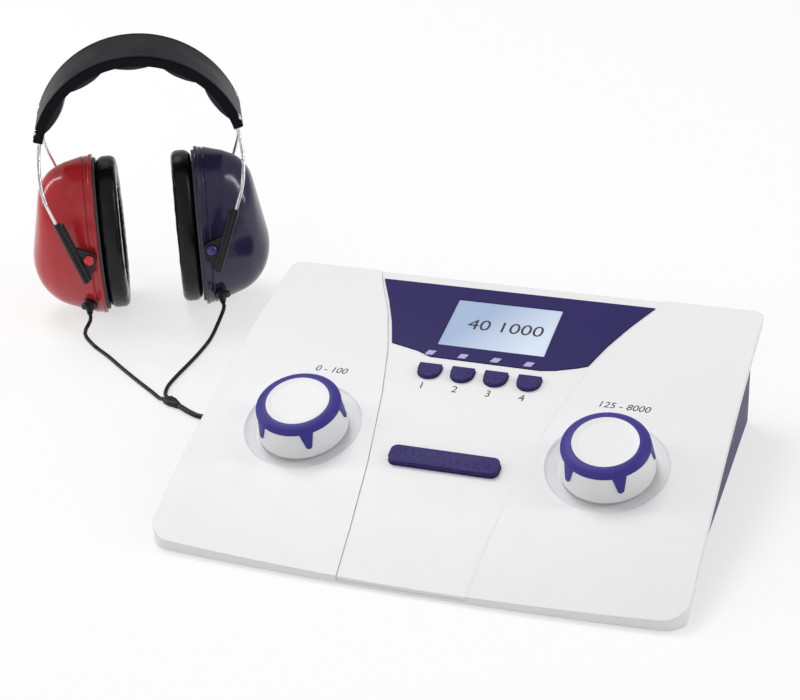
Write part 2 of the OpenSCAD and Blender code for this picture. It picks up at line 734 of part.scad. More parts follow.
// Spring wire: an arc inside the band that spreads towards the sliders below it
function ease(u) = let (v = min(max(u, 0), 1)) v * v * (3 - 2 * v);
wire_spread_0 = band_half;
wire_arc = 90 + wire_turn;
function wire_off(l) = wire_y + (slider_y - wire_y) * ease(l);
arc_mm = wire_r * PI / 180;
spread_mm = (wire_arc - wire_spread_0) * arc_mm;
function wire_point(s, l) = let (a = l / arc_mm)
    a <= wire_arc ?
        [s * wire_r * sin(a), wire_off((a - wire_spread_0) * arc_mm / spread_mm),
            band_z + wire_r * cos(a)] :
        let (m = l - wire_arc * arc_mm)
        [s * (straight_x - m * sin(wire_turn)),
            wire_off(((wire_arc - wire_spread_0) * arc_mm + m) / spread_mm),
            straight_z - m * cos(wire_turn)];
arc_end = wire_arc * arc_mm + 0.5;
wire_marks = [for (k = [0:7]) k * 10 * arc_mm, for (k = [1:12])
    70 * arc_mm + k * (arc_end - 70 * arc_mm) / 12];
wire_path = concat(
    [for (k = [len(wire_marks) - 1:-1:1]) wire_point(-1, wire_marks[k])],
    [for (k = [0:len(wire_marks) - 1]) wire_point(1, wire_marks[k])]);
module wire() color([0.78, 0.78, 0.8]) headset_place() children();
module wire_form() {
    tube(wire_path, wire_d / 2, 10, [0, 1, 0]);
    for (s = [-1, 1]) on_wire(s) translate([0, 0, -wire_l])
        cylinder(d = wire_d, h = wire_l, $fn = 32);
}
module front_wire() wire() mirror([0, 1, 0]) wire_form();
module rear_wire() wire() wire_form();

// Places a child at the top of a wire's straight run, with -Z down the wire
module on_wire(s) translate([s * straight_x, slider_y, straight_z])
    rotate([0, s * wire_turn, 0]) children();

// Slider: a bored barrel with a second one beside it, and a lug for the pivot
module slider(s) on_wire(s) difference() {
    union() {
        translate([0, 0, -slider_top - slider_l]) cylinder(r = slider_r, h = slider_l, $fn = 48);
        translate([-s * barrel_in, 0, -slider_top - slider_l + 1])
            cylinder(r = barrel_r, h = slider_l - 2.5, $fn = 48);
        translate([s < 0 ? 0 : -barrel_in, -1, -slider_top - slider_l + 1])
            cube([barrel_in, 2, slider_l - 2.5]);
        hull() {
            translate([-s * pivot_in, lug_y0, -pivot_down]) rotate([-90, 0, 0])
                cylinder(r = lug_r, h = lug_t, $fn = 32);
            translate([-s * barrel_in, lug_y0, -slider_top - slider_l + 2.4])
                rotate([-90, 0, 0]) cylinder(r = 1, h = lug_t, $fn = 16);
            translate([-s * barrel_in, lug_y0, -pivot_down + 10])
                rotate([-90, 0, 0]) cylinder(r = 1, h = lug_t, $fn = 16);
        }
    }
    translate([0, 0, -slider_top - slider_l - 1])
        cylinder(d = wire_d + 2 * slide_clear, h = slider_l + 2, $fn = 32);
    translate([-s * pivot_in, -10, -pivot_down]) rotate([-90, 0, 0])
        cylinder(r = pivot_r + pivot_clear, h = 20, $fn = 48);
}
module sliders(s) color(black_c) headset_place() {
    slider(s);
    mirror([0, 1, 0]) slider(s);
}
module left_sliders() sliders(-1);
module right_sliders() sliders(1);

// Ear cup: an oval rim and a dome that swells lowest, cut flat where it stands.
// Drawn for the right cup, drawn in by i; the left one is its mirror image.
cup_mid = cup_h / 2;
module oval(rz, ry, h, n = 72) rotate([0, 90, 0]) linear_extrude(h)
    polygon([for (k = [0:n - 1]) [rz * cos(360 * k / n), ry * sin(360 * k / n)]]);
module cup_form(i) hull() {
    translate([rim_x - (i > 0 ? 1 : 0), 0, cup_mid])
        oval(cup_mid + 0.8 - i, cup_w / 2 - i, 6, 44);
    translate([rim_x + 14, 0, cup_mid + 0.5])
        scale([22 - i, cup_w / 2 - 5 - i, cup_mid - 2 - i]) sphere(r = 1, $fn = 30);
    translate([rim_x + cup_d - 26.5, 0, 37])
        scale([26.5 - i, cup_w / 2 - 7 - i, 33 - i]) sphere(r = 1, $fn = 30);
    translate([rim_x + cup_d - 27, 0, 74])
        scale([20 - i, cup_w / 2 - 9 - i, 23.2 - i]) sphere(r = 1, $fn = 30);
}
module cup(s) color(s < 0 ? red_c : navy_c) headset_place() mirror([s < 0 ? 1 : 0, 0, 0])
    difference() {
        union() {
            intersection() {
                cup_form(0);
                translate([rim_x, -50, 0]) cube([60, 100, 120]);
            }
            // Flange round the rim
            intersection() {
                translate([rim_x, 0, cup_mid])
                    oval(cup_mid + 1.2, cup_w / 2 + 0.8, flange_w);
                translate([rim_x, -50, 0]) cube([60, 100, 120]);
            }
            // Pivot bosses and pins
            for (sy = [-1, 1]) translate([pivot_x, 0, pivot_z]) rotate([sy * -90, 0, 0]) {
                cylinder(r = 4.4, h = slider_y + lug_y0 - 0.3, $fn = 48);
                cylinder(r = pivot_r, h = slider_y + lug_y1 + 0.3, $fn = 48);
            }
        }
        intersection() {
            cup_form(cup_wall);
            translate([rim_x - 1, -50, cup_wall]) cube([60, 100, 120]);
        }
        grommet_place() cylinder(r = grommet_r + 0.05, h = 14, center = true, $fn = 48);
    }
module left_cup() cup(-1);
module right_cup() cup(1);

// Inner plate across the cup's mouth, with the receiver's round hole
receiver_r = 22;
module plate(s) color([0.25, 0.25, 0.27]) headset_place() mirror([s < 0 ? 1 : 0, 0, 0])
    difference() {
        translate([rim_x - 1.6, 0, cup_mid]) oval(cup_mid - 0.8, cup_w / 2 - 0.8, 1.6);
        translate([rim_x - 3, 0, cup_mid]) rotate([0, 90, 0])
            cylinder(r = receiver_r - 2, h = 6, $fn = fine);
    }
module left_plate() plate(-1);
module right_plate() plate(1);

module receiver(s) color([0.4, 0.4, 0.42]) headset_place() mirror([s < 0 ? 1 : 0, 0, 0])
    translate([rim_x, 0, cup_mid]) rotate([0, 90, 0]) rotate_extrude($fn = fine)
        polygon([[0, 0], [receiver_r, 0], [receiver_r, 4], [16, 8], [16, 14], [0, 14]]);
module left_receiver() receiver(-1);
module right_receiver() receiver(1);

// Ear cushion: an oval ring with a crown and drawn-in sides
cushion_n = 44;
cushion_z = (cup_h - 1.5) / 2 - cushion_w / 2;
cushion_y = cup_w / 2 - 0.6 - cushion_w / 2;
function cushion_section() = let (w = cushion_w / 2, t = cushion_t - 1.6)
    [[-w * 0.8, 0], [-w * 0.97, t * 0.2], [-w, t * 0.5], [-w * 0.92, t * 0.8],
     [-w * 0.6, t * 0.97], [0, t], [w * 0.6, t * 0.97], [w * 0.92, t * 0.8],
     [w, t * 0.5], [w * 0.97, t * 0.2], [w * 0.8, 0]];
module cushion(s) color(black_c) headset_place() mirror([s < 0 ? 1 : 0, 0, 0])
    translate([rim_x - 1.6, 0, cup_mid + 0.6]) {
        sec = cushion_section();
        n = len(sec);
        polyhedron(points = [for (k = [0:cushion_n - 1]) let (a = 360 * k / cushion_n,
                c = [cushion_y * cos(a), cushion_z * sin(a)],
                d = unit([cushion_z * cos(a), cushion_y * sin(a)])) for (p = sec)
                [-p[1], c[0] + p[0] * d[0], c[1] + p[0] * d[1]]],
            faces = [for (k = [0:cushion_n - 1], c = [0:n - 1]) let (m = (k + 1) % cushion_n,
                e = (c + 1) % n) each [[k * n + c, m * n + e, k * n + e],
                [k * n + c, m * n + c, m * n + e]]], convexity = 4);
    }
module left_cushion() cushion(-1);
module right_cushion() cushion(1);

// Coloured caps that hold the pivots, front and rear
module pivot_caps(s) color(s < 0 ? [0.8, 0.1, 0.14] : [0.25, 0.22, 0.55]) headset_place()
    for (sy = [-1, 1]) translate([s * pivot_x, 0, pivot_z]) rotate([sy * -90, 0, 0])
        translate([0, 0, slider_y + lug_y1 + 0.3]) rotate_extrude($fn = 48)
            polygon([[0, 0], [pivot_cap_r, 0], [pivot_cap_r, 0.9], [pivot_cap_r - 0.9, 1.7],
                [0, 2]]);
module left_pivot_caps() pivot_caps(-1);
module right_pivot_caps() pivot_caps(1);

// Cord grommet in the lower front of each cup
grommet_x = rim_x + 10;
grommet_y = 10 - cup_w / 2;
grommet_z = 15.5;
grommet_dip = 35;
grommet_r = 2.9;
boot_l = 8;
module grommet_place() translate([grommet_x, grommet_y, grommet_z])
    rotate([90 + grommet_dip, 0, 0]) children();
module grommet(s) color(black_c) headset_place() mirror([s < 0 ? 1 : 0, 0, 0])
    grommet_place() {
        translate([0, 0, -4]) cylinder(r = grommet_r, h = 5.4, $fn = 48);
        translate([0, 0, 1.4]) linear_extrude(2) rounded_rect(10, 6.4, 3.1);
        translate([0, 0, 3.4]) cylinder(r1 = 2.6, r2 = branch_d / 2 + 0.5, h = boot_l - 3.4,
            $fn = 48);
    }
module left_grommet() grommet(-1);
module right_grommet() grommet(1);

/* Cord, laid on the table. Points are measured from the console's middle. */

function cr(a, b, c, d, t) = 0.5 * (2 * b + (c - a) * t + (2 * a - 5 * b + 4 * c - d) * t * t
    + (3 * b - a - 3 * c + d) * t * t * t);
function curve(p, n) = [for (k = [0:len(p) - 2], j = [0:n - 1])
    cr(p[max(k - 1, 0)], p[k], p[k + 1], p[min(k + 2, len(p) - 1)], j / n), p[len(p) - 1]];
// Point of the headset, in the console's frame
function from_headset(p) = [headset_pos[0] + p[0] * cos(headset_turn) - p[1] * sin(headset_turn),
    headset_pos[1] + p[0] * sin(headset_turn) + p[1] * cos(headset_turn), p[2]];
function grommet_out(s, l) = from_headset([s * grommet_x,
    grommet_y - l * cos(grommet_dip), grommet_z - l * sin(grommet_dip)]);
// Height of the cords' middles where they lie on the table
low = branch_d / 2 + 0.1;
main_low = main_d / 2 + 0.1;

// Moulded yoke where the two branches become one cord
yoke_at = [-189, 32];
yoke_turn = -29;
yoke_l = 10;
yoke_r = 2;
yoke_z = yoke_r + 0.1;
port_y = branch_d / 2 + 0.35;
function from_yoke(x, y) = [yoke_at[0] + x * cos(yoke_turn) - y * sin(yoke_turn),
    yoke_at[1] + x * sin(yoke_turn) + y * cos(yoke_turn), yoke_z];
module cord_yoke() color(black_c) translate([yoke_at[0], yoke_at[1], yoke_z])
    rotate([0, 0, yoke_turn]) hull() {
        for (y = [-port_y, port_y]) translate([0, y, 0]) rotate([0, 90, 0])
            cylinder(r = yoke_r, h = 4, $fn = 24);
        rotate([0, 90, 0]) cylinder(r = main_d / 2 + 0.3, h = yoke_l, $fn = 24);
    }

left_route = [grommet_out(-1, boot_l + 0.3), grommet_out(-1, boot_l + 5), [-275.5, 96, low + 1.2],
    [-264, 85, low], [-248, 73.5, low], [-232, 61, low], [-216, 49, low], [-203, 39.6, low],
    [-195.6, 34, low], from_yoke(-3.6, -port_y), from_yoke(-1.8, -port_y),
    from_yoke(0, -port_y)];
right_route = [grommet_out(1, boot_l + 0.3), grommet_out(1, boot_l + 5), [-200, 124, low + 1.2],
    [-198, 110, low], [-197, 94, low], [-197, 78, low], [-197.4, 62, low], [-197, 49, low],
    [-194.6, 40, low], from_yoke(-3.6, port_y), from_yoke(-1.8, port_y), from_yoke(0, port_y)];

// The coil put away behind the console: a spiral in four layers
coil_at = [-120, 152];
coil_n = coil_turns + 0.25;
coil_pitch = main_d + coil_gap;
layer_n = coil_n / 4;
coil_out = coil_r + coil_pitch * layer_n;
function coil_radius(u) = let (k = min(floor(u / layer_n), 3), f = u / layer_n - k)
    coil_r + coil_pitch * layer_n * (k % 2 == 0 ? 1 - f : f);
function coil_climb(u, k) = ease((u - k * layer_n + 0.25) / 0.5);
function coil_point(u) = [coil_at[0] + coil_radius(u) * cos(180 - 360 * u),
    coil_at[1] + coil_radius(u) * sin(180 - 360 * u),
    main_low + coil_pitch * (coil_climb(u, 1) + coil_climb(u, 2) + coil_climb(u, 3))];
coil_steps = round(coil_n * 24);
coil_line = concat([coil_point(0) - [0, main_d, 0]],
    [for (k = [0:coil_steps]) coil_point(coil_n * k / coil_steps)],
    [coil_point(coil_n) + [main_d, 0, 0]]);
// Least clear space between parts of the coil more than a third of a turn apart
function coil_clear() = min([for (i = [0:2:coil_steps - 8], j = [i + 8:1:coil_steps])
    norm(coil_line[i] - coil_line[j])]) - main_d;

// The main cord: from the yoke, behind the console's left side, to the coil
main_route = [from_yoke(yoke_l, 0), from_yoke(yoke_l + 2, 0), from_yoke(yoke_l + 4, 0),
    [-171, 22, main_low + 0.3],
    [-163, 19.4, main_low], [-154, 21.6, main_low], [-148, 30, main_low],
    [-146, 44, main_low], [-146, 62, main_low], [-146.4, 80, main_low],
    [-146.4, 98, main_low], [-145.6, 116, main_low], [-144.6, 134, main_low],
    coil_line[0]];
plug_x = -34 - socket_pitch;
plug_l = 27;
coil_end = coil_line[len(coil_line) - 1];
plug_end = [plug_x, rear_y + 1.5 + plug_l, socket_z];
tail_route = [coil_end, coil_end + [2, 0, 0], coil_end + [4, 0, 0], [-104, 175.6, 12],
    [-88, 171, 9.6], [-74, 162, 8.6], [plug_x - 5, 150, 10.4], [plug_x - 1, 139, 14.4],
    plug_end + [0, 4, 0], plug_end + [0, 2, 0], plug_end];

module left_cord() color(black_c) tube(curve(left_route, 2), branch_d / 2, 8);
module right_cord() color(black_c) tube(curve(right_route, 2), branch_d / 2, 8);
module main_cord() color(black_c) tube(curve(main_route, 2), main_d / 2, 8);
module tail_cord() color(black_c) tube(curve(tail_route, 2), main_d / 2, 8);
module cord_coil() {
    echo(coil_least_gap = coil_clear());
    color(black_c) tube(coil_line, main_d / 2, 6);
}

// Phone plug in its socket
module plug_place() translate([plug_x, rear_y + 1.5, socket_z]) rotate([90, 0, 0]) children();
module plug_body() color(black_c) plug_place() rotate([180, 0, 0]) rotate_extrude($fn = fine)
    polygon([[0, 0], [5.2, 0], [5.6, 1.5], [5.6, plug_l - 11], [4.2, plug_l - 8],
        [3, plug_l - 7], [main_d / 2 + 0.5, plug_l], [0, plug_l]]);
module plug_pin() color([0.8, 0.8, 0.82]) plug_place() rotate_extrude($fn = fine)
    polygon([[0, 0], [jack_d / 2 - 0.05, 0], [jack_d / 2 - 0.05, jack_l - 9],
        [jack_d / 2 - 0.5, jack_l - 8.4], [jack_d / 2 - 0.05, jack_l - 7.8],
        [jack_d / 2 - 0.6, jack_l - 5.6], [jack_d / 2 - 0.2, jack_l - 3.6], [0.6, jack_l - 1],
        [0, jack_l - 1]]);

module set() translate(console_pos) children();

set() lower_case();
set() top_cover();
set() center_fascia();
set() display_bezel();
set() display_window();
set() display_module();
set() indicator_lenses();
set() key_1();
set() key_2();
set() key_3();
set() key_4();
set() tone_bar();
set() level_knob();
set() level_grip();
set() level_shaft();
set() tone_knob();
set() tone_grip();
set() tone_shaft();
set() encoders();
set() main_board();
set() key_switches();
set() rubber_feet();
set() case_screws();
set() phone_sockets();
set() power_socket();
set() band_shell();
set() band_pad();
set() front_wire();
set() rear_wire();
set() left_sliders();
set() left_cup();
set() left_plate();
set() left_cushion();
set() left_receiver();
set() left_pivot_caps();
set() left_grommet();
set() right_sliders();
set() right_cup();
set() right_plate();
set() right_cushion();
set() right_receiver();
set() right_pivot_caps();
set() right_grommet();
set() left_cord();
set() right_cord();
set() cord_yoke();
set() main_cord();
set() cord_coil();
set() tail_cord();
set() plug_body();
set() plug_pin();
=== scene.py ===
"""Looks of a table-top audiometer and its headset: materials, soft parts, cords, light, camera.

Lengths are in metres, in the same frame as the CAD parts.
"""

import json
import math

import bpy
from mathutils import Matrix, Vector, noise

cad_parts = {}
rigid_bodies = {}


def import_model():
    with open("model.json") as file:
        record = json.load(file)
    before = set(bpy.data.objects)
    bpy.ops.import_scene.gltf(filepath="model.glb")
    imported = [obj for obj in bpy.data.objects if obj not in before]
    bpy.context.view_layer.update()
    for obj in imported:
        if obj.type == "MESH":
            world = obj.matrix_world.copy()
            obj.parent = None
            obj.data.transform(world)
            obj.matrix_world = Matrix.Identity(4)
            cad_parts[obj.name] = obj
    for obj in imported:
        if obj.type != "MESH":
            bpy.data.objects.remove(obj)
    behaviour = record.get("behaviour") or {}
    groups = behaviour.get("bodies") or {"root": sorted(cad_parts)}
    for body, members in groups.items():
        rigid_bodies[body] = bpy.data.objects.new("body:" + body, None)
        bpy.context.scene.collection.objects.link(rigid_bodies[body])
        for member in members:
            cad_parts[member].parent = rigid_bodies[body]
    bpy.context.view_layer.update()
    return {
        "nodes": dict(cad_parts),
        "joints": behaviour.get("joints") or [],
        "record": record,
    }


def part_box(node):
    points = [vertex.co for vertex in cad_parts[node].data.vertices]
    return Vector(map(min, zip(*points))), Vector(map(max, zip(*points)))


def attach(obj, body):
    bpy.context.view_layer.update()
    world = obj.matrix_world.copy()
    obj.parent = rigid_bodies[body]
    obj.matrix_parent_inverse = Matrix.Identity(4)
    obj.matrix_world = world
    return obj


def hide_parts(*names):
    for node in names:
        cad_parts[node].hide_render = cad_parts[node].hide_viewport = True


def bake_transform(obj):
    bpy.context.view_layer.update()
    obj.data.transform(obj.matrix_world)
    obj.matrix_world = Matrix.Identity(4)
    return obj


for thing in list(bpy.data.objects):
    bpy.data.objects.remove(thing)
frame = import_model()
NODES = frame["nodes"]
MM = 0.001

# ---------------------------------------------------------------- places taken from the frame

CASE_D = 205 * MM
cover_low, cover_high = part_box("top_cover")
CONSOLE = Vector(((cover_low.x + cover_high.x) / 2, cover_high.y - CASE_D / 2, 0))
joints = {joint["name"]: joint for joint in frame["joints"]}
HEADSET = Vector(joints["headset_lift"]["pos_m"])
tilt_axis = joints["right_ear_tilt"]["axis"]
HEADSET_TURN = math.atan2(-tilt_axis[0], tilt_axis[1])
to_headset = Matrix.Translation(HEADSET) @ Matrix.Rotation(HEADSET_TURN, 4, "Z")


def mirror_side(side):
    """Matrix from a side's own frame, with x outward, to the row frame."""
    return to_headset @ Matrix.Diagonal((side, 1, 1, 1))


# ---------------------------------------------------------------- camera

# Worked out from the console's outline in the photograph
CAMERA_AZIMUTH = math.radians(19.9)
CAMERA_ELEVATION = math.radians(27.03)
CAMERA_ROLL = math.radians(-2.352)
CAMERA_DISTANCE = 1.088
CAMERA_TARGET = Vector((-82.33, 128.8, 0)) * MM
CAMERA_LENS = 81.95


def make_camera():
    level = math.cos(CAMERA_ELEVATION)
    back = Vector((
        level * math.sin(CAMERA_AZIMUTH), -level * math.cos(CAMERA_AZIMUTH), math.sin(CAMERA_ELEVATION)
    ))
    right = Vector((math.cos(CAMERA_AZIMUTH), math.sin(CAMERA_AZIMUTH), 0))
    up = back.cross(right)
    rolled_right = math.cos(CAMERA_ROLL) * right + math.sin(CAMERA_ROLL) * up
    rolled_up = math.cos(CAMERA_ROLL) * up - math.sin(CAMERA_ROLL) * right
    data = bpy.data.cameras.new("camera")
    data.lens = CAMERA_LENS
    data.sensor_width = 36
    data.clip_start = 0.05
    data.clip_end = 50
    camera = bpy.data.objects.new("camera", data)
    bpy.context.scene.collection.objects.link(camera)
    turn = Matrix((rolled_right, rolled_up, back)).transposed().to_4x4()
    camera.matrix_world = Matrix.Translation(CONSOLE + CAMERA_TARGET + back * CAMERA_DISTANCE) @ turn
    bpy.context.scene.camera = camera


# ---------------------------------------------------------------- materials


class Nodes:
    """Short names for the nodes of one material."""

    def __init__(self, name):
        self.material = bpy.data.materials.new(name)
        self.material.use_nodes = True
        self.tree = self.material.node_tree
        self.shader = self.tree.nodes["Principled BSDF"]
        self.place = self.add("ShaderNodeTexCoord").outputs["Object"]

    def add(self, kind, **values):
        node = self.tree.nodes.new(kind)
        for name, value in values.items():
            setattr(node, name, value)
        return node

    def link(self, output, socket):
        self.tree.links.new(output, socket)

    def noise(self, scale, detail=3.0, roughness=0.55, stretch=None):
        node = self.add("ShaderNodeTexNoise")
        node.inputs["Scale"].default_value = scale
        node.inputs["Detail"].default_value = detail
        node.inputs["Roughness"].default_value = roughness
        place = self.place
        if stretch:
            mapping = self.add("ShaderNodeMapping")
            mapping.inputs["Scale"].default_value = stretch
            self.link(place, mapping.inputs["Vector"])
            place = mapping.outputs["Vector"]
        self.link(place, node.inputs["Vector"])
        return node.outputs["Fac"]

    def cells(self, scale):
        node = self.add("ShaderNodeTexVoronoi", feature="DISTANCE_TO_EDGE")
        node.inputs["Scale"].default_value = scale
        self.link(self.place, node.inputs["Vector"])
        return node.outputs["Distance"]

    def ramp(self, value, low, high, start=0.3, end=0.7):
        """Colours or greys between two values of a texture."""
        node = self.add("ShaderNodeValToRGB")
        first, last = node.color_ramp.elements
        first.position, last.position = start, end
        first.color, last.color = as_colour(low), as_colour(high)
        self.link(value, node.inputs["Fac"])
        return node.outputs["Color"]

    def bump(self, height, depth, strength=1.0, edge=0.0):
        """Bump by a texture, over edges rounded by a radius."""
        node = self.add("ShaderNodeBump")
        node.inputs["Strength"].default_value = strength
        node.inputs["Distance"].default_value = depth
        self.link(height, node.inputs["Height"])
        if edge:
            bevel = self.add("ShaderNodeBevel", samples=6)
            bevel.inputs["Radius"].default_value = edge
            self.link(bevel.outputs["Normal"], node.inputs["Normal"])
        self.link(node.outputs["Normal"], self.shader.inputs["Normal"])


def as_colour(value):
    return (*value, 1) if isinstance(value, tuple) else (value, value, value, 1)


def shade(colour, amount):
    return tuple(min(1.0, max(0.0, c * amount)) for c in colour)


def linear(*values):
    """Display values from 0 to 255 as a linear colour."""
    shares = [v / 255 for v in values]
    return tuple(v / 12.92 if v <= 0.04045 else ((v + 0.055) / 1.055) ** 2.4 for v in shares)


def moulded(name, colour, rough, grain=0.00004, scale=1400, edge=0.0005, coat=0.0, vary=0.03,
            gloss=0.5, cloud=9):
    """Moulded plastic: faint clouding, fine grain and slightly uneven gloss."""
    n = Nodes(name)
    patches = n.noise(cloud, 4)
    n.link(n.ramp(patches, shade(colour, 1 - vary), shade(colour, 1 + vary)), n.shader.inputs["Base Color"])
    n.shader.inputs["Specular IOR Level"].default_value = gloss
    n.link(n.ramp(n.noise(60, 5), rough * 0.88, rough * 1.12), n.shader.inputs["Roughness"])
    n.shader.inputs["Coat Weight"].default_value = coat
    n.shader.inputs["Coat Roughness"].default_value = 0.15
    n.bump(n.noise(scale, 2, 0.6), grain, 0.5, edge)
    return n.material


def vinyl(name, colour, rough, wrinkle=0.0002, gloss=0.3):
    """Padded vinyl: soft creases and a fine leather-like grain."""
    n = Nodes(name)
    n.shader.inputs["Specular IOR Level"].default_value = gloss
    crease = n.noise(120, 5, 0.6)
    n.link(n.ramp(n.noise(40, 4), shade(colour, 0.75), shade(colour, 1.35)), n.shader.inputs["Base Color"])
    n.link(n.ramp(crease, rough * 0.75, rough * 1.3), n.shader.inputs["Roughness"])
    grain = n.cells(1800)
    mix = n.add("ShaderNodeMath", operation="MULTIPLY_ADD")
    mix.inputs[1].default_value = 0.35
    n.link(grain, mix.inputs[0])
    n.link(crease, mix.inputs[2])
    n.bump(mix.outputs["Value"], wrinkle, 0.6)
    return n.material


def metal(name, colour, rough, stretch=(1, 1, 0.05)):
    """Drawn or plated metal with fine lines along its height."""
    n = Nodes(name)
    n.shader.inputs["Metallic"].default_value = 1.0
    lines = n.noise(300, 3, 0.6, stretch)
    n.link(n.ramp(lines, shade(colour, 0.88), shade(colour, 1.05)), n.shader.inputs["Base Color"])
    n.link(n.ramp(lines, rough * 0.8, rough * 1.25), n.shader.inputs["Roughness"])
    n.bump(lines, 0.00002, 0.3)
    return n.material


def board_material():
    """Green lacquered circuit board with fine tracks."""
    n = Nodes("circuit_board")
    tracks = n.ramp(n.cells(220), linear(24, 92, 56), linear(40, 120, 72), 0.04, 0.08)
    n.link(tracks, n.shader.inputs["Base Color"])
    n.link(n.ramp(n.noise(80), 0.3, 0.45), n.shader.inputs["Roughness"])
    n.bump(n.cells(220), 0.00003, 0.4)
    return n.material


def display_material(low, high):
    """Lit display: a pale blue that brightens from one lower corner to the opposite side."""
    n = Nodes("display_glass")
    mapping = n.add("ShaderNodeMapping")
    size = high - low
    mapping.inputs["Location"].default_value = (-low.x / size.x, -low.y / size.y, 0)
    mapping.inputs["Scale"].default_value = (1 / size.x, 1 / size.y, 1)
    n.link(n.place, mapping.inputs["Vector"])
    parts = n.add("ShaderNodeSeparateXYZ")
    n.link(mapping.outputs["Vector"], parts.inputs["Vector"])
    total = n.add("ShaderNodeMath", operation="MULTIPLY_ADD")
    total.inputs[1].default_value = -0.45
    n.link(parts.outputs["Y"], total.inputs[0])
    n.link(parts.outputs["X"], total.inputs[2])
    colour = n.ramp(total.outputs["Value"], linear(164, 182, 212), linear(214, 226, 240), 0.0, 0.8)
    n.link(colour, n.shader.inputs["Base Color"])
    n.link(colour, n.shader.inputs["Emission Color"])
    n.shader.inputs["Emission Strength"].default_value = 0.1
    n.link(n.ramp(n.noise(50), 0.16, 0.24), n.shader.inputs["Roughness"])
    n.bump(n.noise(900, 2), 0.00001, 0.2)
    return n.material


WHITE = linear(238, 238, 239)
INDIGO = linear(44, 36, 94)
KEY_INDIGO = linear(54, 46, 104)
VIOLET = linear(62, 56, 138)


def make_materials():
    lcd_low, lcd_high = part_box("display_window")
    return {
        "white_shell": moulded("white_shell", WHITE, 0.36, vary=0.012, gloss=0.25),
        "indigo_shell": moulded("indigo_shell", INDIGO, 0.42, grain=0.00006, scale=1100, gloss=0.14),
        "indigo_key": moulded("indigo_key", KEY_INDIGO, 0.5, grain=0.0003, scale=800, edge=0.0006,
                              vary=0.42, gloss=0.14, cloud=700),
        "violet_grip": moulded("violet_grip", VIOLET, 0.42, grain=0.00006, scale=1200, vary=0.06,
                               gloss=0.2),
        "lilac_lens": moulded("lilac_lens", linear(182, 176, 222), 0.25, coat=0.4),
        "display_glass": display_material(lcd_low, lcd_high),
        "display_frame": moulded("display_frame", linear(150, 156, 152), 0.5),
        "steel": metal("steel", (0.62, 0.62, 0.64), 0.32),
        "plated_steel": metal("plated_steel", (0.82, 0.82, 0.84), 0.18),
        "circuit_board": board_material(),
        "switch_black": moulded("switch_black", linear(34, 34, 38), 0.45, vary=0.12),
        "foot_rubber": moulded("foot_rubber", linear(30, 30, 32), 0.7, grain=0.0001, scale=800,
                               vary=0.15),
        "band_black": moulded("band_black", linear(17, 16, 23), 0.4, vary=0.15, gloss=0.08),
        "pad_vinyl": vinyl("pad_vinyl", linear(34, 33, 42), 0.36, wrinkle=0.0004, gloss=0.25),
        "slider_black": moulded("slider_black", linear(24, 24, 27), 0.3, vary=0.1, gloss=0.35),
        "red_cup": moulded("red_cup", linear(184, 40, 46), 0.17, scale=1000, vary=0.04),
        "navy_cup": moulded("navy_cup", linear(48, 41, 74), 0.17, scale=1000, vary=0.05),
        "red_button": moulded("red_button", linear(214, 30, 38), 0.3, coat=0.4),
        "blue_button": moulded("blue_button", linear(48, 44, 120), 0.3, coat=0.4),
        "cushion_vinyl": vinyl("cushion_vinyl", linear(11, 11, 14), 0.2, wrinkle=0.0004),
        "receiver_grey": moulded("receiver_grey", linear(74, 74, 80), 0.55, vary=0.08),
        "cord_black": moulded("cord_black", linear(28, 28, 31), 0.4, grain=0.00005, scale=700, vary=0.1,
                              gloss=0.3),
        "print_ink": moulded("print_ink", linear(40, 36, 58), 0.5, edge=0, vary=0.08),
    }


def give(piece, slot, body):
    piece.data.materials.append(MATERIALS[slot])
    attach(piece, body)
    return piece


# ---------------------------------------------------------------- mesh helpers


def new_mesh(name, points, faces):
    mesh = bpy.data.meshes.new(name)
    mesh.from_pydata([tuple(p) for p in points], [], faces)
    mesh.validate()
    mesh.update()
    mesh.polygons.foreach_set("use_smooth", [True] * len(mesh.polygons))
    piece = bpy.data.objects.new(name, mesh)
    bpy.context.scene.collection.objects.link(piece)
    return piece


def skin(rows, closed_rows=True, closed_ring=False, first=0, flip=False):
    """Faces between rows of equal length. Rows can wrap round, and the whole can close on itself."""
    count = len(rows[0])
    faces = []
    for r in range(len(rows) if closed_ring else len(rows) - 1):
        after = (r + 1) % len(rows)
        for c in range(count if closed_rows else count - 1):
            d = (c + 1) % count
            quad = (r * count + c, r * count + d, after * count + d, after * count + c)
            faces.append(tuple(first + i for i in (reversed(quad) if flip else quad)))
    return faces


def tube(name, path, radius, sides, first=0, last=None):
    """Round tube along a path with the least twist, or the part of it on points first to last."""
    path = [Vector(p) for p in path]
    tangents = [
        (path[min(k + 1, len(path) - 1)] - path[max(k - 1, 0)]).normalized()
        for k in range(len(path))
    ]
    side = tangents[0].orthogonal().normalized()
    rows = []
    for centre, along in zip(path, tangents):
        side = (side - along * side.dot(along)).normalized()
        other = along.cross(side)
        row = [
            centre + radius * (math.cos(a) * side + math.sin(a) * other)
            for a in (2 * math.pi * j / sides for j in range(sides))
        ]
        rows.append(row)
    rows = rows[first:] if last is None else rows[first:last + 1]
    points = [point for row in rows for point in row]
    end = len(points) - sides
    ends = [tuple(range(sides - 1, -1, -1)), tuple(range(end, end + sides))]
    return new_mesh(name, points, skin(rows) + ends)


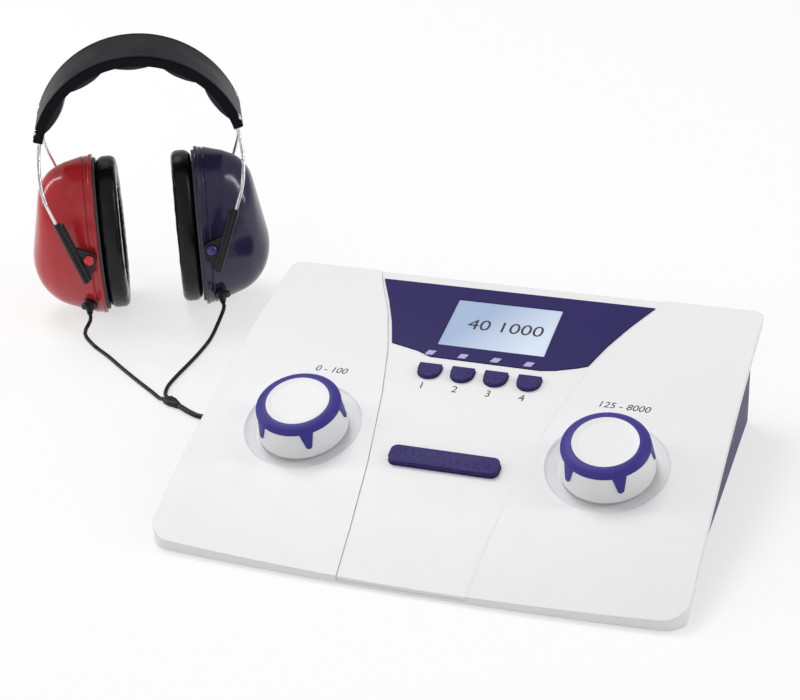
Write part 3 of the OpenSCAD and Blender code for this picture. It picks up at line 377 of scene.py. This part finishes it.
def curve(points, steps):
    """Smooth line through the points, with steps to each gap, as the CAD's routes have it."""
    points = [Vector(p) for p in points]
    line = []
    for k in range(len(points) - 1):
        a, b, c, d = (points[min(max(k + j, 0), len(points) - 1)] for j in (-1, 0, 1, 2))
        for j in range(steps):
            t = j / steps
            bend = (2 * a - 5 * b + 4 * c - d) * t * t + (3 * b - a - 3 * c + d) * t**3
            line.append(0.5 * (2 * b + (c - a) * t + bend))
    line.append(points[-1])
    return line


def ease(u):
    """Smooth step from 0 to 1."""
    v = min(max(u, 0.0), 1.0)
    return v * v * (3 - 2 * v)


# ---------------------------------------------------------------- cords

BRANCH_D = 2.4 * MM
MAIN_D = 3.2 * MM
BOOT_L = 8 * MM
GROMMET_X, GROMMET_Y, GROMMET_Z = 41 * MM, -25 * MM, 15.5 * MM
GROMMET_DIP = math.radians(35)
YOKE_AT = Vector((-189, 32, 0)) * MM
YOKE_TURN = math.radians(-29)
YOKE_L = 10 * MM
YOKE_Z = 2.1 * MM
PORT_Y = BRANCH_D / 2 + 0.35 * MM
LAY = 0.1 * MM
LOW = BRANCH_D / 2 + LAY
ROUTE_STEPS = 3
CORD_SIDES = 16
MAIN_LOW = MAIN_D / 2 + LAY
COIL_AT = Vector((-120, 152, 0)) * MM
COIL_R = 12 * MM
COIL_PITCH = MAIN_D + 0.55 * MM
COIL_TURNS = 13.25
COIL_STEPS = 40
COIL_LAYERS = 4
LAYER_TURNS = COIL_TURNS / COIL_LAYERS
SOCKET_Z = 16 * MM
SOCKET_PITCH = 26 * MM
SPARE_SOCKET_X = -34 * MM
PLUG_X = SPARE_SOCKET_X - SOCKET_PITCH
PLUG_L = 27 * MM
REAR_Y = CASE_D / 2 - 3 * MM


def grommet_out(side, out):
    """Point on the axis of a cup's grommet, a distance out of it."""
    local = Vector((
        GROMMET_X, GROMMET_Y - out * math.cos(GROMMET_DIP), GROMMET_Z - out * math.sin(GROMMET_DIP)
    ))
    return mirror_side(side) @ local - CONSOLE


def from_yoke(along, aside):
    """Point at the yoke's height, from its fork along and beside its axis."""
    c, s = math.cos(YOKE_TURN), math.sin(YOKE_TURN)
    return Vector((
        YOKE_AT.x + along * c - aside * s, YOKE_AT.y + along * s + aside * c, YOKE_Z
    ))


def table_points(points, height):
    """Points given in millimetres; the third value is a height over the cord's own."""
    return [Vector((p[0] * MM, p[1] * MM, height + (p[2] * MM if len(p) > 2 else 0))) for p in points]


def coil_point(u):
    """Point of the coil after u turns. Its layers go inward and outward by turns."""
    layer = min(int(u / LAYER_TURNS), COIL_LAYERS - 1)
    part = u / LAYER_TURNS - layer
    radius = COIL_R + COIL_PITCH * LAYER_TURNS * (1 - part if layer % 2 == 0 else part)
    angle = math.pi - 2 * math.pi * u
    rise = sum(ease((u - k * LAYER_TURNS + 0.25) / 0.5) for k in range(1, COIL_LAYERS))
    return COIL_AT + Vector((
        radius * math.cos(angle), radius * math.sin(angle), MAIN_LOW + COIL_PITCH * rise
    ))


def coil_line():
    steps = round(COIL_TURNS * COIL_STEPS)
    start = [coil_point(0) - Vector((0, MAIN_D, 0))]
    end = [coil_point(COIL_TURNS) + Vector((MAIN_D, 0, 0))]
    return start + [coil_point(COIL_TURNS * k / steps) for k in range(steps + 1)] + end


LEFT_ROUTE = (
    [grommet_out(-1, BOOT_L + 0.3 * MM), grommet_out(-1, BOOT_L + 5 * MM)]
    + table_points([(-275.5, 96, 1.2), (-264, 85), (-248, 73.5), (-232, 61), (-216, 49),
                    (-203, 39.6), (-195.6, 34)], LOW)
    + [from_yoke(-3.6 * MM, -PORT_Y), from_yoke(-1.8 * MM, -PORT_Y), from_yoke(0, -PORT_Y)]
)
RIGHT_ROUTE = (
    [grommet_out(1, BOOT_L + 0.3 * MM), grommet_out(1, BOOT_L + 5 * MM)]
    + table_points([(-200, 124, 1.2), (-198, 110), (-197, 94), (-197, 78), (-197.4, 62),
                    (-197, 49), (-194.6, 40)], LOW)
    + [from_yoke(-3.6 * MM, PORT_Y), from_yoke(-1.8 * MM, PORT_Y), from_yoke(0, PORT_Y)]
)
MAIN_ROUTE = (
    [from_yoke(YOKE_L, 0), from_yoke(YOKE_L + 2 * MM, 0), from_yoke(YOKE_L + 4 * MM, 0)]
    + table_points([(-171, 22, 0.3), (-163, 19.4), (-154, 21.6), (-148, 30), (-146, 44),
                    (-146, 62), (-146.4, 80), (-146.4, 98), (-145.6, 116), (-144.6, 134)], MAIN_LOW)
)
COIL_END = coil_line()[-1]
PLUG_END = Vector((PLUG_X, REAR_Y + 1.5 * MM + PLUG_L, SOCKET_Z))
TAIL_ROUTE = (
    [COIL_END, COIL_END + Vector((2, 0, 0)) * MM, COIL_END + Vector((4, 0, 0)) * MM]
    + table_points([(-104, 175.6, 12), (-88, 171, 9.6), (-74, 162, 8.6)], 0)
    + [
        Vector((PLUG_X - 5 * MM, 150 * MM, 10.4 * MM)),
        Vector((PLUG_X - 1 * MM, 139 * MM, 14.4 * MM)),
        PLUG_END + Vector((0, 4, 0)) * MM, PLUG_END + Vector((0, 2, 0)) * MM, PLUG_END,
    ]
)


# Points of a branch's path where its stretches meet, and how many rest on the table at the yoke
TILT_STOP, SLIDE_STOP, YOKE_REST = 4, 10, 8


def branch_cord(side, name, route):
    """Thin cord from an ear cup to the yoke, in three pieces: a tilt stretch and a slide stretch by the
    cup, and the rest."""
    path = [p + CONSOLE for p in curve(route, ROUTE_STEPS)]
    ear = "right" if side > 0 else "left"
    end = len(path) - 1
    # Suffix, first and last point, the point where the lower body has it, upper and lower body
    stretches = [
        ("_tilt_end", 0, TILT_STOP, TILT_STOP, ear + "_ear", ear + "_carriage"),
        ("_slide_end", TILT_STOP, SLIDE_STOP, SLIDE_STOP, ear + "_carriage", "headset"),
        ("_run", SLIDE_STOP, end, end - YOKE_REST, "headset", "console"),
    ]
    for suffix, first, last, stop, upper, lower in stretches:
        piece = tube(name + suffix, path, BRANCH_D / 2, CORD_SIDES, first, last)
        piece.data.materials.append(MATERIALS["cord_black"])
        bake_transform(piece)
    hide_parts(name)


def main_cord():
    """Main cord: from the yoke to the put-away coil and on to the plug, in one tube."""
    coil = coil_line()
    lead = curve(MAIN_ROUTE + [coil[0]], ROUTE_STEPS)
    path = [p + CONSOLE for p in lead + coil[1:-1] + curve(TAIL_ROUTE, ROUTE_STEPS)]
    piece = tube("main_cord_run", path, MAIN_D / 2, CORD_SIDES)
    give(piece, "cord_black", "console")
    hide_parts("main_cord", "cord_coil", "tail_cord")


# ---------------------------------------------------------------- ear cups

RIM_X = 31 * MM
CUP_H, CUP_W, CUP_D = 100 * MM, 70 * MM, 42.5 * MM
CUP_MID = CUP_H / 2
# How far the rim's oval reaches past the cup's height, where the table cuts it flat
RIM_RISE = 0.8 * MM
DOME_X = RIM_X + 6 * MM
CUP_SIDES, DOME_ROWS = 144, 48
# Centre and radii of the forms that the dome is stretched over
CUP_FORMS = [
    ((RIM_X + 14 * MM, 0, CUP_MID + 0.5 * MM), (22 * MM, CUP_W / 2 - 5 * MM, CUP_MID - 2 * MM)),
    ((RIM_X + CUP_D - 26.5 * MM, 0, 37 * MM), (26.5 * MM, CUP_W / 2 - 7 * MM, 33 * MM)),
    ((RIM_X + CUP_D - 27 * MM, 0, 74 * MM), (20 * MM, CUP_W / 2 - 9 * MM, 23.2 * MM)),
]
# The rim's wall and flange below the dome: distance out and growth, in millimetres
RIM_PROFILE = [
    (5.9, 0), (5.75, -0.15), (5.6, -0.65), (5.0, -0.65), (4.85, -0.15), (4.7, 0), (2.7, 0),
    (2.45, 0.12), (2.3, 0.55), (2.1, 0.75), (0.3, 0.8), (0.06, 0.6), (0.05, -1.5),
]
# Boss and pin of a pivot: height from the cup's middle and radius, in millimetres
PIVOT_PROFILE = [
    (24, 4.4), (35.7, 4.4), (36.1, 4.2), (36.25, 3.8), (36.3, 2.0), (39.3, 2.0), (39.3, 0.01),
]


def rim_point(x, angle, grow=0.0):
    """Point of the cup's oval rim at a distance out from the headset's middle."""
    return Vector((
        x,
        (CUP_W / 2 + grow) * math.cos(angle),
        CUP_MID + (CUP_MID + RIM_RISE + grow) * math.sin(angle),
    ))


def dome_point(direction):
    """Farthest point of the cup's form in a direction."""
    best, reach = None, -1.0
    for centre, radii in CUP_FORMS:
        scaled = Vector(r * r * d for r, d in zip(radii, direction))
        size = math.sqrt(sum((r * d) ** 2 for r, d in zip(radii, direction)))
        point = Vector(centre) + scaled / size
        if point.dot(direction) > reach:
            best, reach = point, point.dot(direction)
    y, z = direction.y * (CUP_W / 2) ** 2, direction.z * (CUP_MID + RIM_RISE) ** 2
    size = math.sqrt(y * direction.y + z * direction.z)
    if size > 1e-12:
        rim = Vector((DOME_X, y / size, CUP_MID + z / size))
        if rim.dot(direction) > reach:
            best = rim
    return best


def on_table(point):
    """The point, raised to the table where it lies lower: the cup's flat cut."""
    return Vector((point.x, point.y, max(point.z, 0.0)))


def dome_outline(axis, sign):
    """One side of the cup's outline from its outer pole to its rim: pairs of x and the axis."""
    line = []
    for k in range(91):
        direction = [math.cos(math.radians(k)), 0.0, 0.0]
        direction[axis] = sign * math.sin(math.radians(k))
        point = dome_point(Vector(direction))
        line.append((point.x, point[axis]))
    return line


def across(line, x):
    """Value of an outline at a distance out, between its points."""
    for (x1, v1), (x2, v2) in zip(line, line[1:]):
        if x2 <= x <= x1:
            return v1 + (v2 - v1) * (x1 - x) / max(x1 - x2, 1e-9)
    return line[-1][1]


def ear_cup(side, name, slot):
    """Cup shell: dome, a groove round it, the rim's flange, and the pivots' bosses and pins."""
    angles = [2 * math.pi * j / CUP_SIDES for j in range(CUP_SIDES)]
    top, bottom, wide = dome_outline(2, 1), dome_outline(2, -1), dome_outline(1, 1)
    pole = RIM_X + CUP_D
    rows = []
    for k in range(1, DOME_ROWS + 1):
        x = DOME_X + (pole - DOME_X) * math.cos(math.pi / 2 * k / DOME_ROWS)
        high, low, half = across(top, x), across(bottom, x), across(wide, x)
        rows.append([
            Vector((x, half * math.cos(a), (high + low) / 2 + (high - low) / 2 * math.sin(a)))
            for a in angles
        ])
    for out, grow in RIM_PROFILE:
        rows.append([rim_point(RIM_X + out * MM, a, grow * MM) for a in angles])
    place = mirror_side(side)
    points = [place @ on_table(p) for row in rows for p in row]
    faces = skin(rows, flip=side < 0)
    cap = tuple(range(CUP_SIDES))
    faces.append(cap if side < 0 else tuple(reversed(cap)))
    pivot = Vector(joints[name.replace("cup", "ear_tilt")]["pos_m"])
    front = to_headset.to_3x3() @ Vector((0, 1, 0))
    for way in (-1, 1):
        add_turned(points, faces, pivot, front * way, PIVOT_PROFILE)
    piece = give(new_mesh(name + "_shell", points, faces), slot, name.replace("cup", "ear"))
    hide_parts(name)


def add_turned(points, faces, centre, axis, profile, sides=40):
    """Adds a turned form: pairs of height along the axis and radius, in millimetres."""
    u = axis.orthogonal().normalized()
    v = axis.cross(u)
    first = len(points)
    rows = []
    for height, radius in profile:
        rows.append([
            centre + axis * height * MM + radius * MM * (math.cos(a) * u + math.sin(a) * v)
            for a in (2 * math.pi * j / sides for j in range(sides))
        ])
    points += [p for row in rows for p in row]
    faces += skin(rows, first=first)


# ---------------------------------------------------------------- soft parts

CUSHION_T, CUSHION_W = 14.5 * MM, 15 * MM
PLATE_T = 1.6 * MM
CUSHION_HALF_Z = (CUP_H - 1.5 * MM) / 2 - CUSHION_W / 2
CUSHION_HALF_Y = CUP_W / 2 - 0.6 * MM - CUSHION_W / 2
CUSHION_LIFT = 0.6 * MM
# Room that the vinyl leaves inside the CAD ring, for its folds
SKIN_ROOM = 0.25 * MM
CUSHION_SIDES, CUSHION_SECTION = 200, 40


def ear_cushion(side, name):
    """Oval ring of foam under vinyl: crowned, drawn in at its root, with soft creases."""
    thick = CUSHION_T - PLATE_T
    rows = []
    for k in range(CUSHION_SIDES):
        a = 2 * math.pi * k / CUSHION_SIDES
        centre = Vector((0, CUSHION_HALF_Y * math.cos(a), CUSHION_HALF_Z * math.sin(a)))
        out = Vector((0, CUSHION_HALF_Z * math.cos(a), CUSHION_HALF_Y * math.sin(a))).normalized()
        row = []
        for j in range(CUSHION_SECTION):
            b = 2 * math.pi * j / CUSHION_SECTION
            # A rounded box section: full at mid height, drawn in at its root
            wide = math.copysign(abs(math.cos(b)) ** 0.5, math.cos(b))
            tall = math.copysign(abs(math.sin(b)) ** 0.6, math.sin(b))
            height = (tall + 1) / 2
            pinch = 1 - 0.14 * max(0.0, 0.3 - height) / 0.3
            crease = noise.noise(Vector((math.cos(a) * 9, math.sin(a) * 9, b * 1.3)))
            folds = 0.22 * MM * crease + 0.12 * MM * math.sin(a * 46) * max(0.0, -wide)
            reach = (CUSHION_W / 2 - SKIN_ROOM) * wide * pinch
            inward = SKIN_ROOM + (thick - 2 * SKIN_ROOM) * height + folds * max(0.0, tall)
            row.append(centre + out * (reach + folds * wide) - Vector((inward, 0, 0)))
        rows.append(row)
    lift = Vector((RIM_X - PLATE_T, 0, CUP_MID + CUSHION_LIFT))
    place = mirror_side(side)
    points = [place @ (p + lift) for row in rows for p in row]
    piece = new_mesh(name + "_pad", points, skin(rows, closed_ring=True, flip=side < 0))
    give(piece, "cushion_vinyl", name.replace("cushion", "ear"))
    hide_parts(name)


BAND_R, BAND_T, BAND_W = 62 * MM, 2.6 * MM, 48 * MM
BAND_Z = 105 * MM
BAND_HALF = math.radians(75)
PAD_T = 8.5 * MM
PAD_HALF = BAND_HALF - math.radians(3)
PILLOWS = 5
PILLOW_RINGS, PAD_SECTION = 20, 32
# Share of a pillow's height that its sewn channels keep, and gap between lining and band
CHANNEL, PAD_GAP = 0.16, 0.2 * MM
WIRE_D = 2.2 * MM
WIRE_Y = 21.5 * MM
WIRE_TURN = math.radians(19)
WIRE_R = BAND_R - WIRE_D / 2 - 0.3 * MM


def band_pad():
    """Lining of the band: a row of pillows with sewn channels between them."""
    total = PILLOWS * PILLOW_RINGS
    rows = []
    for k in range(total + 1):
        angle = -PAD_HALF + 2 * PAD_HALF * k / total
        u = (k % PILLOW_RINGS) / PILLOW_RINGS
        full = max(math.sin(math.pi * u), 0.0) ** 0.5
        fill = CHANNEL + (1 - CHANNEL) * full
        width = WIRE_Y - WIRE_D / 2 - 0.5 * MM - 1.6 * MM * (1 - fill)
        row = []
        for j in range(PAD_SECTION):
            b = 2 * math.pi * j / PAD_SECTION
            wide = math.copysign(abs(math.cos(b)) ** 0.55, math.cos(b))
            tall = (math.copysign(abs(math.sin(b)) ** 0.7, math.sin(b)) + 1) / 2
            crease = 0.16 * MM * noise.noise(Vector((angle * 14, wide * 3, tall * 2)))
            depth = PAD_GAP + (PAD_T * fill - PAD_GAP + crease * full) * tall
            radius = BAND_R - depth
            row.append(Vector((
                radius * math.sin(angle), width * wide, BAND_Z + radius * math.cos(angle)
            )))
        rows.append(row)
    points = [to_headset @ p for row in rows for p in row]
    faces = skin(rows)
    last = len(points) - PAD_SECTION
    faces += [tuple(range(PAD_SECTION - 1, -1, -1)), tuple(range(last, last + PAD_SECTION))]
    piece = give(new_mesh("band_pad_lining", points, faces), "pad_vinyl", "headset")
    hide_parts("band_pad")


SLIDER_Y = CUP_W / 2 + 3.6 * MM
SLIDER_TOP, SLIDER_L = 11 * MM, 42 * MM
WIRE_DOWN = SLIDER_TOP + SLIDER_L - 3 * MM
ARC_STEPS, DOWN_STEPS, WIRE_SIDES = 63, 6, 20


def spring_wire(way, name):
    """Spring wire: an arc in the band that spreads to the sliders and runs down them."""
    turned = math.pi / 2 + WIRE_TURN
    half = []
    for k in range(ARC_STEPS + 1):
        angle = turned * k / ARC_STEPS
        spread = ease((angle - BAND_HALF) / (turned - BAND_HALF))
        half.append(Vector((
            WIRE_R * math.sin(angle),
            way * (WIRE_Y + (SLIDER_Y - WIRE_Y) * spread),
            BAND_Z + WIRE_R * math.cos(angle),
        )))
    down = Vector((-math.sin(WIRE_TURN), 0, -math.cos(WIRE_TURN)))
    half += [half[-1] + down * WIRE_DOWN * k / DOWN_STEPS for k in range(1, DOWN_STEPS + 1)]
    other = [Vector((-p.x, p.y, p.z)) for p in reversed(half[1:])]
    path = [to_headset @ p for p in other + half]
    piece = give(tube(name + "_run", path, WIRE_D / 2, WIRE_SIDES), "plated_steel", "headset")
    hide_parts(name)


# Head of a stud: height and radius, in millimetres
STUD_PROFILE = [(-0.6, 1.9), (0.25, 1.9), (0.5, 1.6), (0.65, 1.0), (0.7, 0.01)]
STUD_ANGLE = BAND_HALF - math.radians(5)
STITCH_Y = BAND_W / 2 - 2.6 * MM
STITCHES = 83
# Radius of a stitch, in millimetres
STITCH_R = 0.32


def on_band(angle, y):
    """Point on the outer face of the band's shell."""
    radius = BAND_R + BAND_T
    return to_headset @ Vector((radius * math.sin(angle), y, BAND_Z + radius * math.cos(angle)))


def band_studs():
    """Small rivets at the ends of the band's shell."""
    points, faces = [], []
    for side in (-1, 1):
        for y in (-WIRE_Y, WIRE_Y):
            angle = side * STUD_ANGLE
            out = to_headset.to_3x3() @ Vector((math.sin(angle), 0, math.cos(angle)))
            add_turned(points, faces, on_band(angle, y), out, STUD_PROFILE, 24)
    give(new_mesh("band_studs", points, faces), "plated_steel", "headset")


def band_stitches():
    """Sewn seam along both edges of the band's shell."""
    points, faces = [], []
    pitch = 2 * BAND_HALF * 0.975 / STITCHES
    for way in (-1, 1):
        for k in range(STITCHES):
            middle = (k - (STITCHES - 1) / 2) * pitch
            start, stop = (on_band(middle + part * pitch, way * STITCH_Y) for part in (-0.3, 0.3))
            reach = (stop - start).length / MM
            add_turned(points, faces, start, (stop - start).normalized(), [
                (-0.2, 0.01), (-0.1, 0.2), (0.2, STITCH_R), (reach - 0.2, STITCH_R),
                (reach + 0.1, 0.2), (reach + 0.2, 0.01),
            ], 8)
    give(new_mesh("band_stitches", points, faces), "pad_vinyl", "headset")


# ---------------------------------------------------------------- plain numbers

ARCH_R = 765 * MM
FRONT_H, REAR_H = 9 * MM, 64 * MM
# How far the fascia and the window lie below the cover, and how far print stands proud
FASCIA_DROP, WINDOW_DROP, INK_LIFT = 0.6 * MM, 0.8 * MM, 0.03 * MM
KEY_PITCH = 18 * MM
KEY_NUMBER_Y = 8.6 * MM
DIAL_X = 79 * MM
RANGE_Y = 11 * MM
DISPLAY_Y = 62 * MM


def arch_centre():
    """Middle of the cover's arch, as y and z in the console's own frame."""
    chord = math.hypot(CASE_D, REAR_H - FRONT_H)
    reach = math.sqrt(ARCH_R**2 - chord**2 / 4)
    return (
        reach * (REAR_H - FRONT_H) / chord,
        (FRONT_H + REAR_H) / 2 - reach * CASE_D / chord,
    )


def on_cover(x, y, lift):
    """Matrix that stands a piece on the arched cover, lifted off it."""
    middle_y, middle_z = arch_centre()
    tilt = math.asin((middle_y - y) / ARCH_R)
    z = middle_z + math.sqrt(ARCH_R**2 - (y - middle_y) ** 2)
    place = Matrix.Translation(CONSOLE + Vector((x, y, z))) @ Matrix.Rotation(tilt, 4, "X")
    return place @ Matrix.Translation(Vector((0, 0, lift)))


def numbers(name, text, size, x, y, lift, slant=0.0):
    """Printed figures on the console."""
    data = bpy.data.curves.new(name, "FONT")
    data.body = text
    data.size = size
    data.shear = slant
    data.align_x = "CENTER"
    data.align_y = "CENTER"
    data.extrude = 0.02 * MM
    words = bpy.data.objects.new(name, data)
    bpy.context.scene.collection.objects.link(words)
    bpy.context.view_layer.update()
    flat = bpy.data.meshes.new_from_object(words)
    bpy.data.objects.remove(words)
    flat.transform(on_cover(x, y, lift))
    piece = bpy.data.objects.new(name, flat)
    bpy.context.scene.collection.objects.link(piece)
    piece.data.materials.clear()
    give(piece, "print_ink", "console")


def plain_numbers():
    for k in range(4):
        x = (k - 1.5) * KEY_PITCH - 0.8 * MM
        numbers(f"key_number_{k + 1}", str(k + 1), 6.8 * MM, x, KEY_NUMBER_Y, INK_LIFT - FASCIA_DROP)
    numbers("level_range", "0 - 100", 6.2 * MM, -DIAL_X, RANGE_Y, INK_LIFT, 0.2)
    numbers("tone_range", "125 - 8000", 6.2 * MM, DIAL_X, RANGE_Y, INK_LIFT, 0.2)
    numbers("display_level", "40", 13 * MM, -12 * MM, DISPLAY_Y, INK_LIFT - WINDOW_DROP)
    numbers("display_tone", "1000", 13 * MM, 11 * MM, DISPLAY_Y, INK_LIFT - WINDOW_DROP)


# ---------------------------------------------------------------- stage and light

FLOOR_WHITE = 0.95
# Share of plain white that a look at the floor adds to what lights it
FLOOR_CLEAR = 0.65
FLOOR_HALF, FLOOR_DROP = 60.0, 0.0002
WORLD_STRENGTH = 0.45
HEADSET_AIM = (-0.16, 0.1, 0.07)


def make_stage():
    """Pale floor that keeps shadows, lighter than they fall."""
    n = Nodes("stage_white")
    n.link(n.ramp(n.noise(3), FLOOR_WHITE * 0.995, FLOOR_WHITE), n.shader.inputs["Base Color"])
    n.shader.inputs["Roughness"].default_value = 0.6
    n.shader.inputs["Specular IOR Level"].default_value = 0.1
    path = n.add("ShaderNodeLightPath")
    seen = path.outputs["Is Camera Ray"]
    for ray in ("Is Glossy Ray", "Is Transmission Ray"):
        either = n.add("ShaderNodeMath", operation="MAXIMUM")
        n.link(seen, either.inputs[0])
        n.link(path.outputs[ray], either.inputs[1])
        seen = either.outputs["Value"]
    share = n.add("ShaderNodeMath", operation="MULTIPLY")
    share.inputs[1].default_value = FLOOR_CLEAR
    n.link(seen, share.inputs[0])
    clear = n.add("ShaderNodeEmission")
    clear.inputs["Color"].default_value = (1, 1, 1, 1)
    clear.inputs["Strength"].default_value = 1
    mix = n.add("ShaderNodeMixShader")
    n.link(share.outputs["Value"], mix.inputs["Fac"])
    n.link(n.shader.outputs["BSDF"], mix.inputs[1])
    n.link(clear.outputs["Emission"], mix.inputs[2])
    n.link(mix.outputs["Shader"], n.tree.nodes["Material Output"].inputs["Surface"])
    signs = ((-1, -1), (1, -1), (1, 1), (-1, 1))
    corners = [(x * FLOOR_HALF, y * FLOOR_HALF, -FLOOR_DROP) for x, y in signs]
    floor = new_mesh("floor", corners, [(0, 1, 2, 3)])
    floor.data.materials.append(n.material)


def lamp(name, place, target, size, watts):
    """Rectangular lamp that faces a target."""
    data = bpy.data.lights.new(name, "AREA")
    data.shape = "RECTANGLE"
    data.size, data.size_y = size
    data.energy = watts
    light = bpy.data.objects.new(name, data)
    bpy.context.scene.collection.objects.link(light)
    light.location = place
    light.rotation_euler = (Vector(target) - Vector(place)).to_track_quat("-Z", "Y").to_euler()


def make_light():
    world = bpy.data.worlds.new("studio")
    world.use_nodes = True
    back = world.node_tree.nodes["Background"]
    back.inputs["Color"].default_value = (1, 1, 1, 1)
    back.inputs["Strength"].default_value = WORLD_STRENGTH
    bpy.context.scene.world = world
    lamp("key_light", (-1.1, 0.7, 2.9), (0, 0, 0.05), (1.4, 1.4), 44)
    lamp("front_light", (-0.3, -1.8, 0.9), (0, 0, 0.03), (1.2, 0.6), 1.5)
    lamp("left_strip", (-1.5, -0.1, 0.75), HEADSET_AIM, (0.1, 1.2), 6)
    lamp("right_strip", (1.5, 0.25, 0.85), HEADSET_AIM, (0.1, 1.2), 6)
    bpy.context.scene.view_settings.view_transform = "Standard"


# ---------------------------------------------------------------- the whole scene

make_camera()
MATERIALS = make_materials()
slots = {part["node"]: part["material_slot"] for part in frame["record"]["subparts"]}
for node_name, node in NODES.items():
    node.data.materials.clear()
    node.data.materials.append(MATERIALS[slots[node_name]])
branch_cord(-1, "left_cord", LEFT_ROUTE)
branch_cord(1, "right_cord", RIGHT_ROUTE)
main_cord()
ear_cup(-1, "left_cup", "red_cup")
ear_cup(1, "right_cup", "navy_cup")
ear_cushion(-1, "left_cushion")
ear_cushion(1, "right_cushion")
band_pad()
band_studs()
band_stitches()
spring_wire(-1, "front_wire")
spring_wire(1, "rear_wire")
plain_numbers()
make_stage()
make_light()
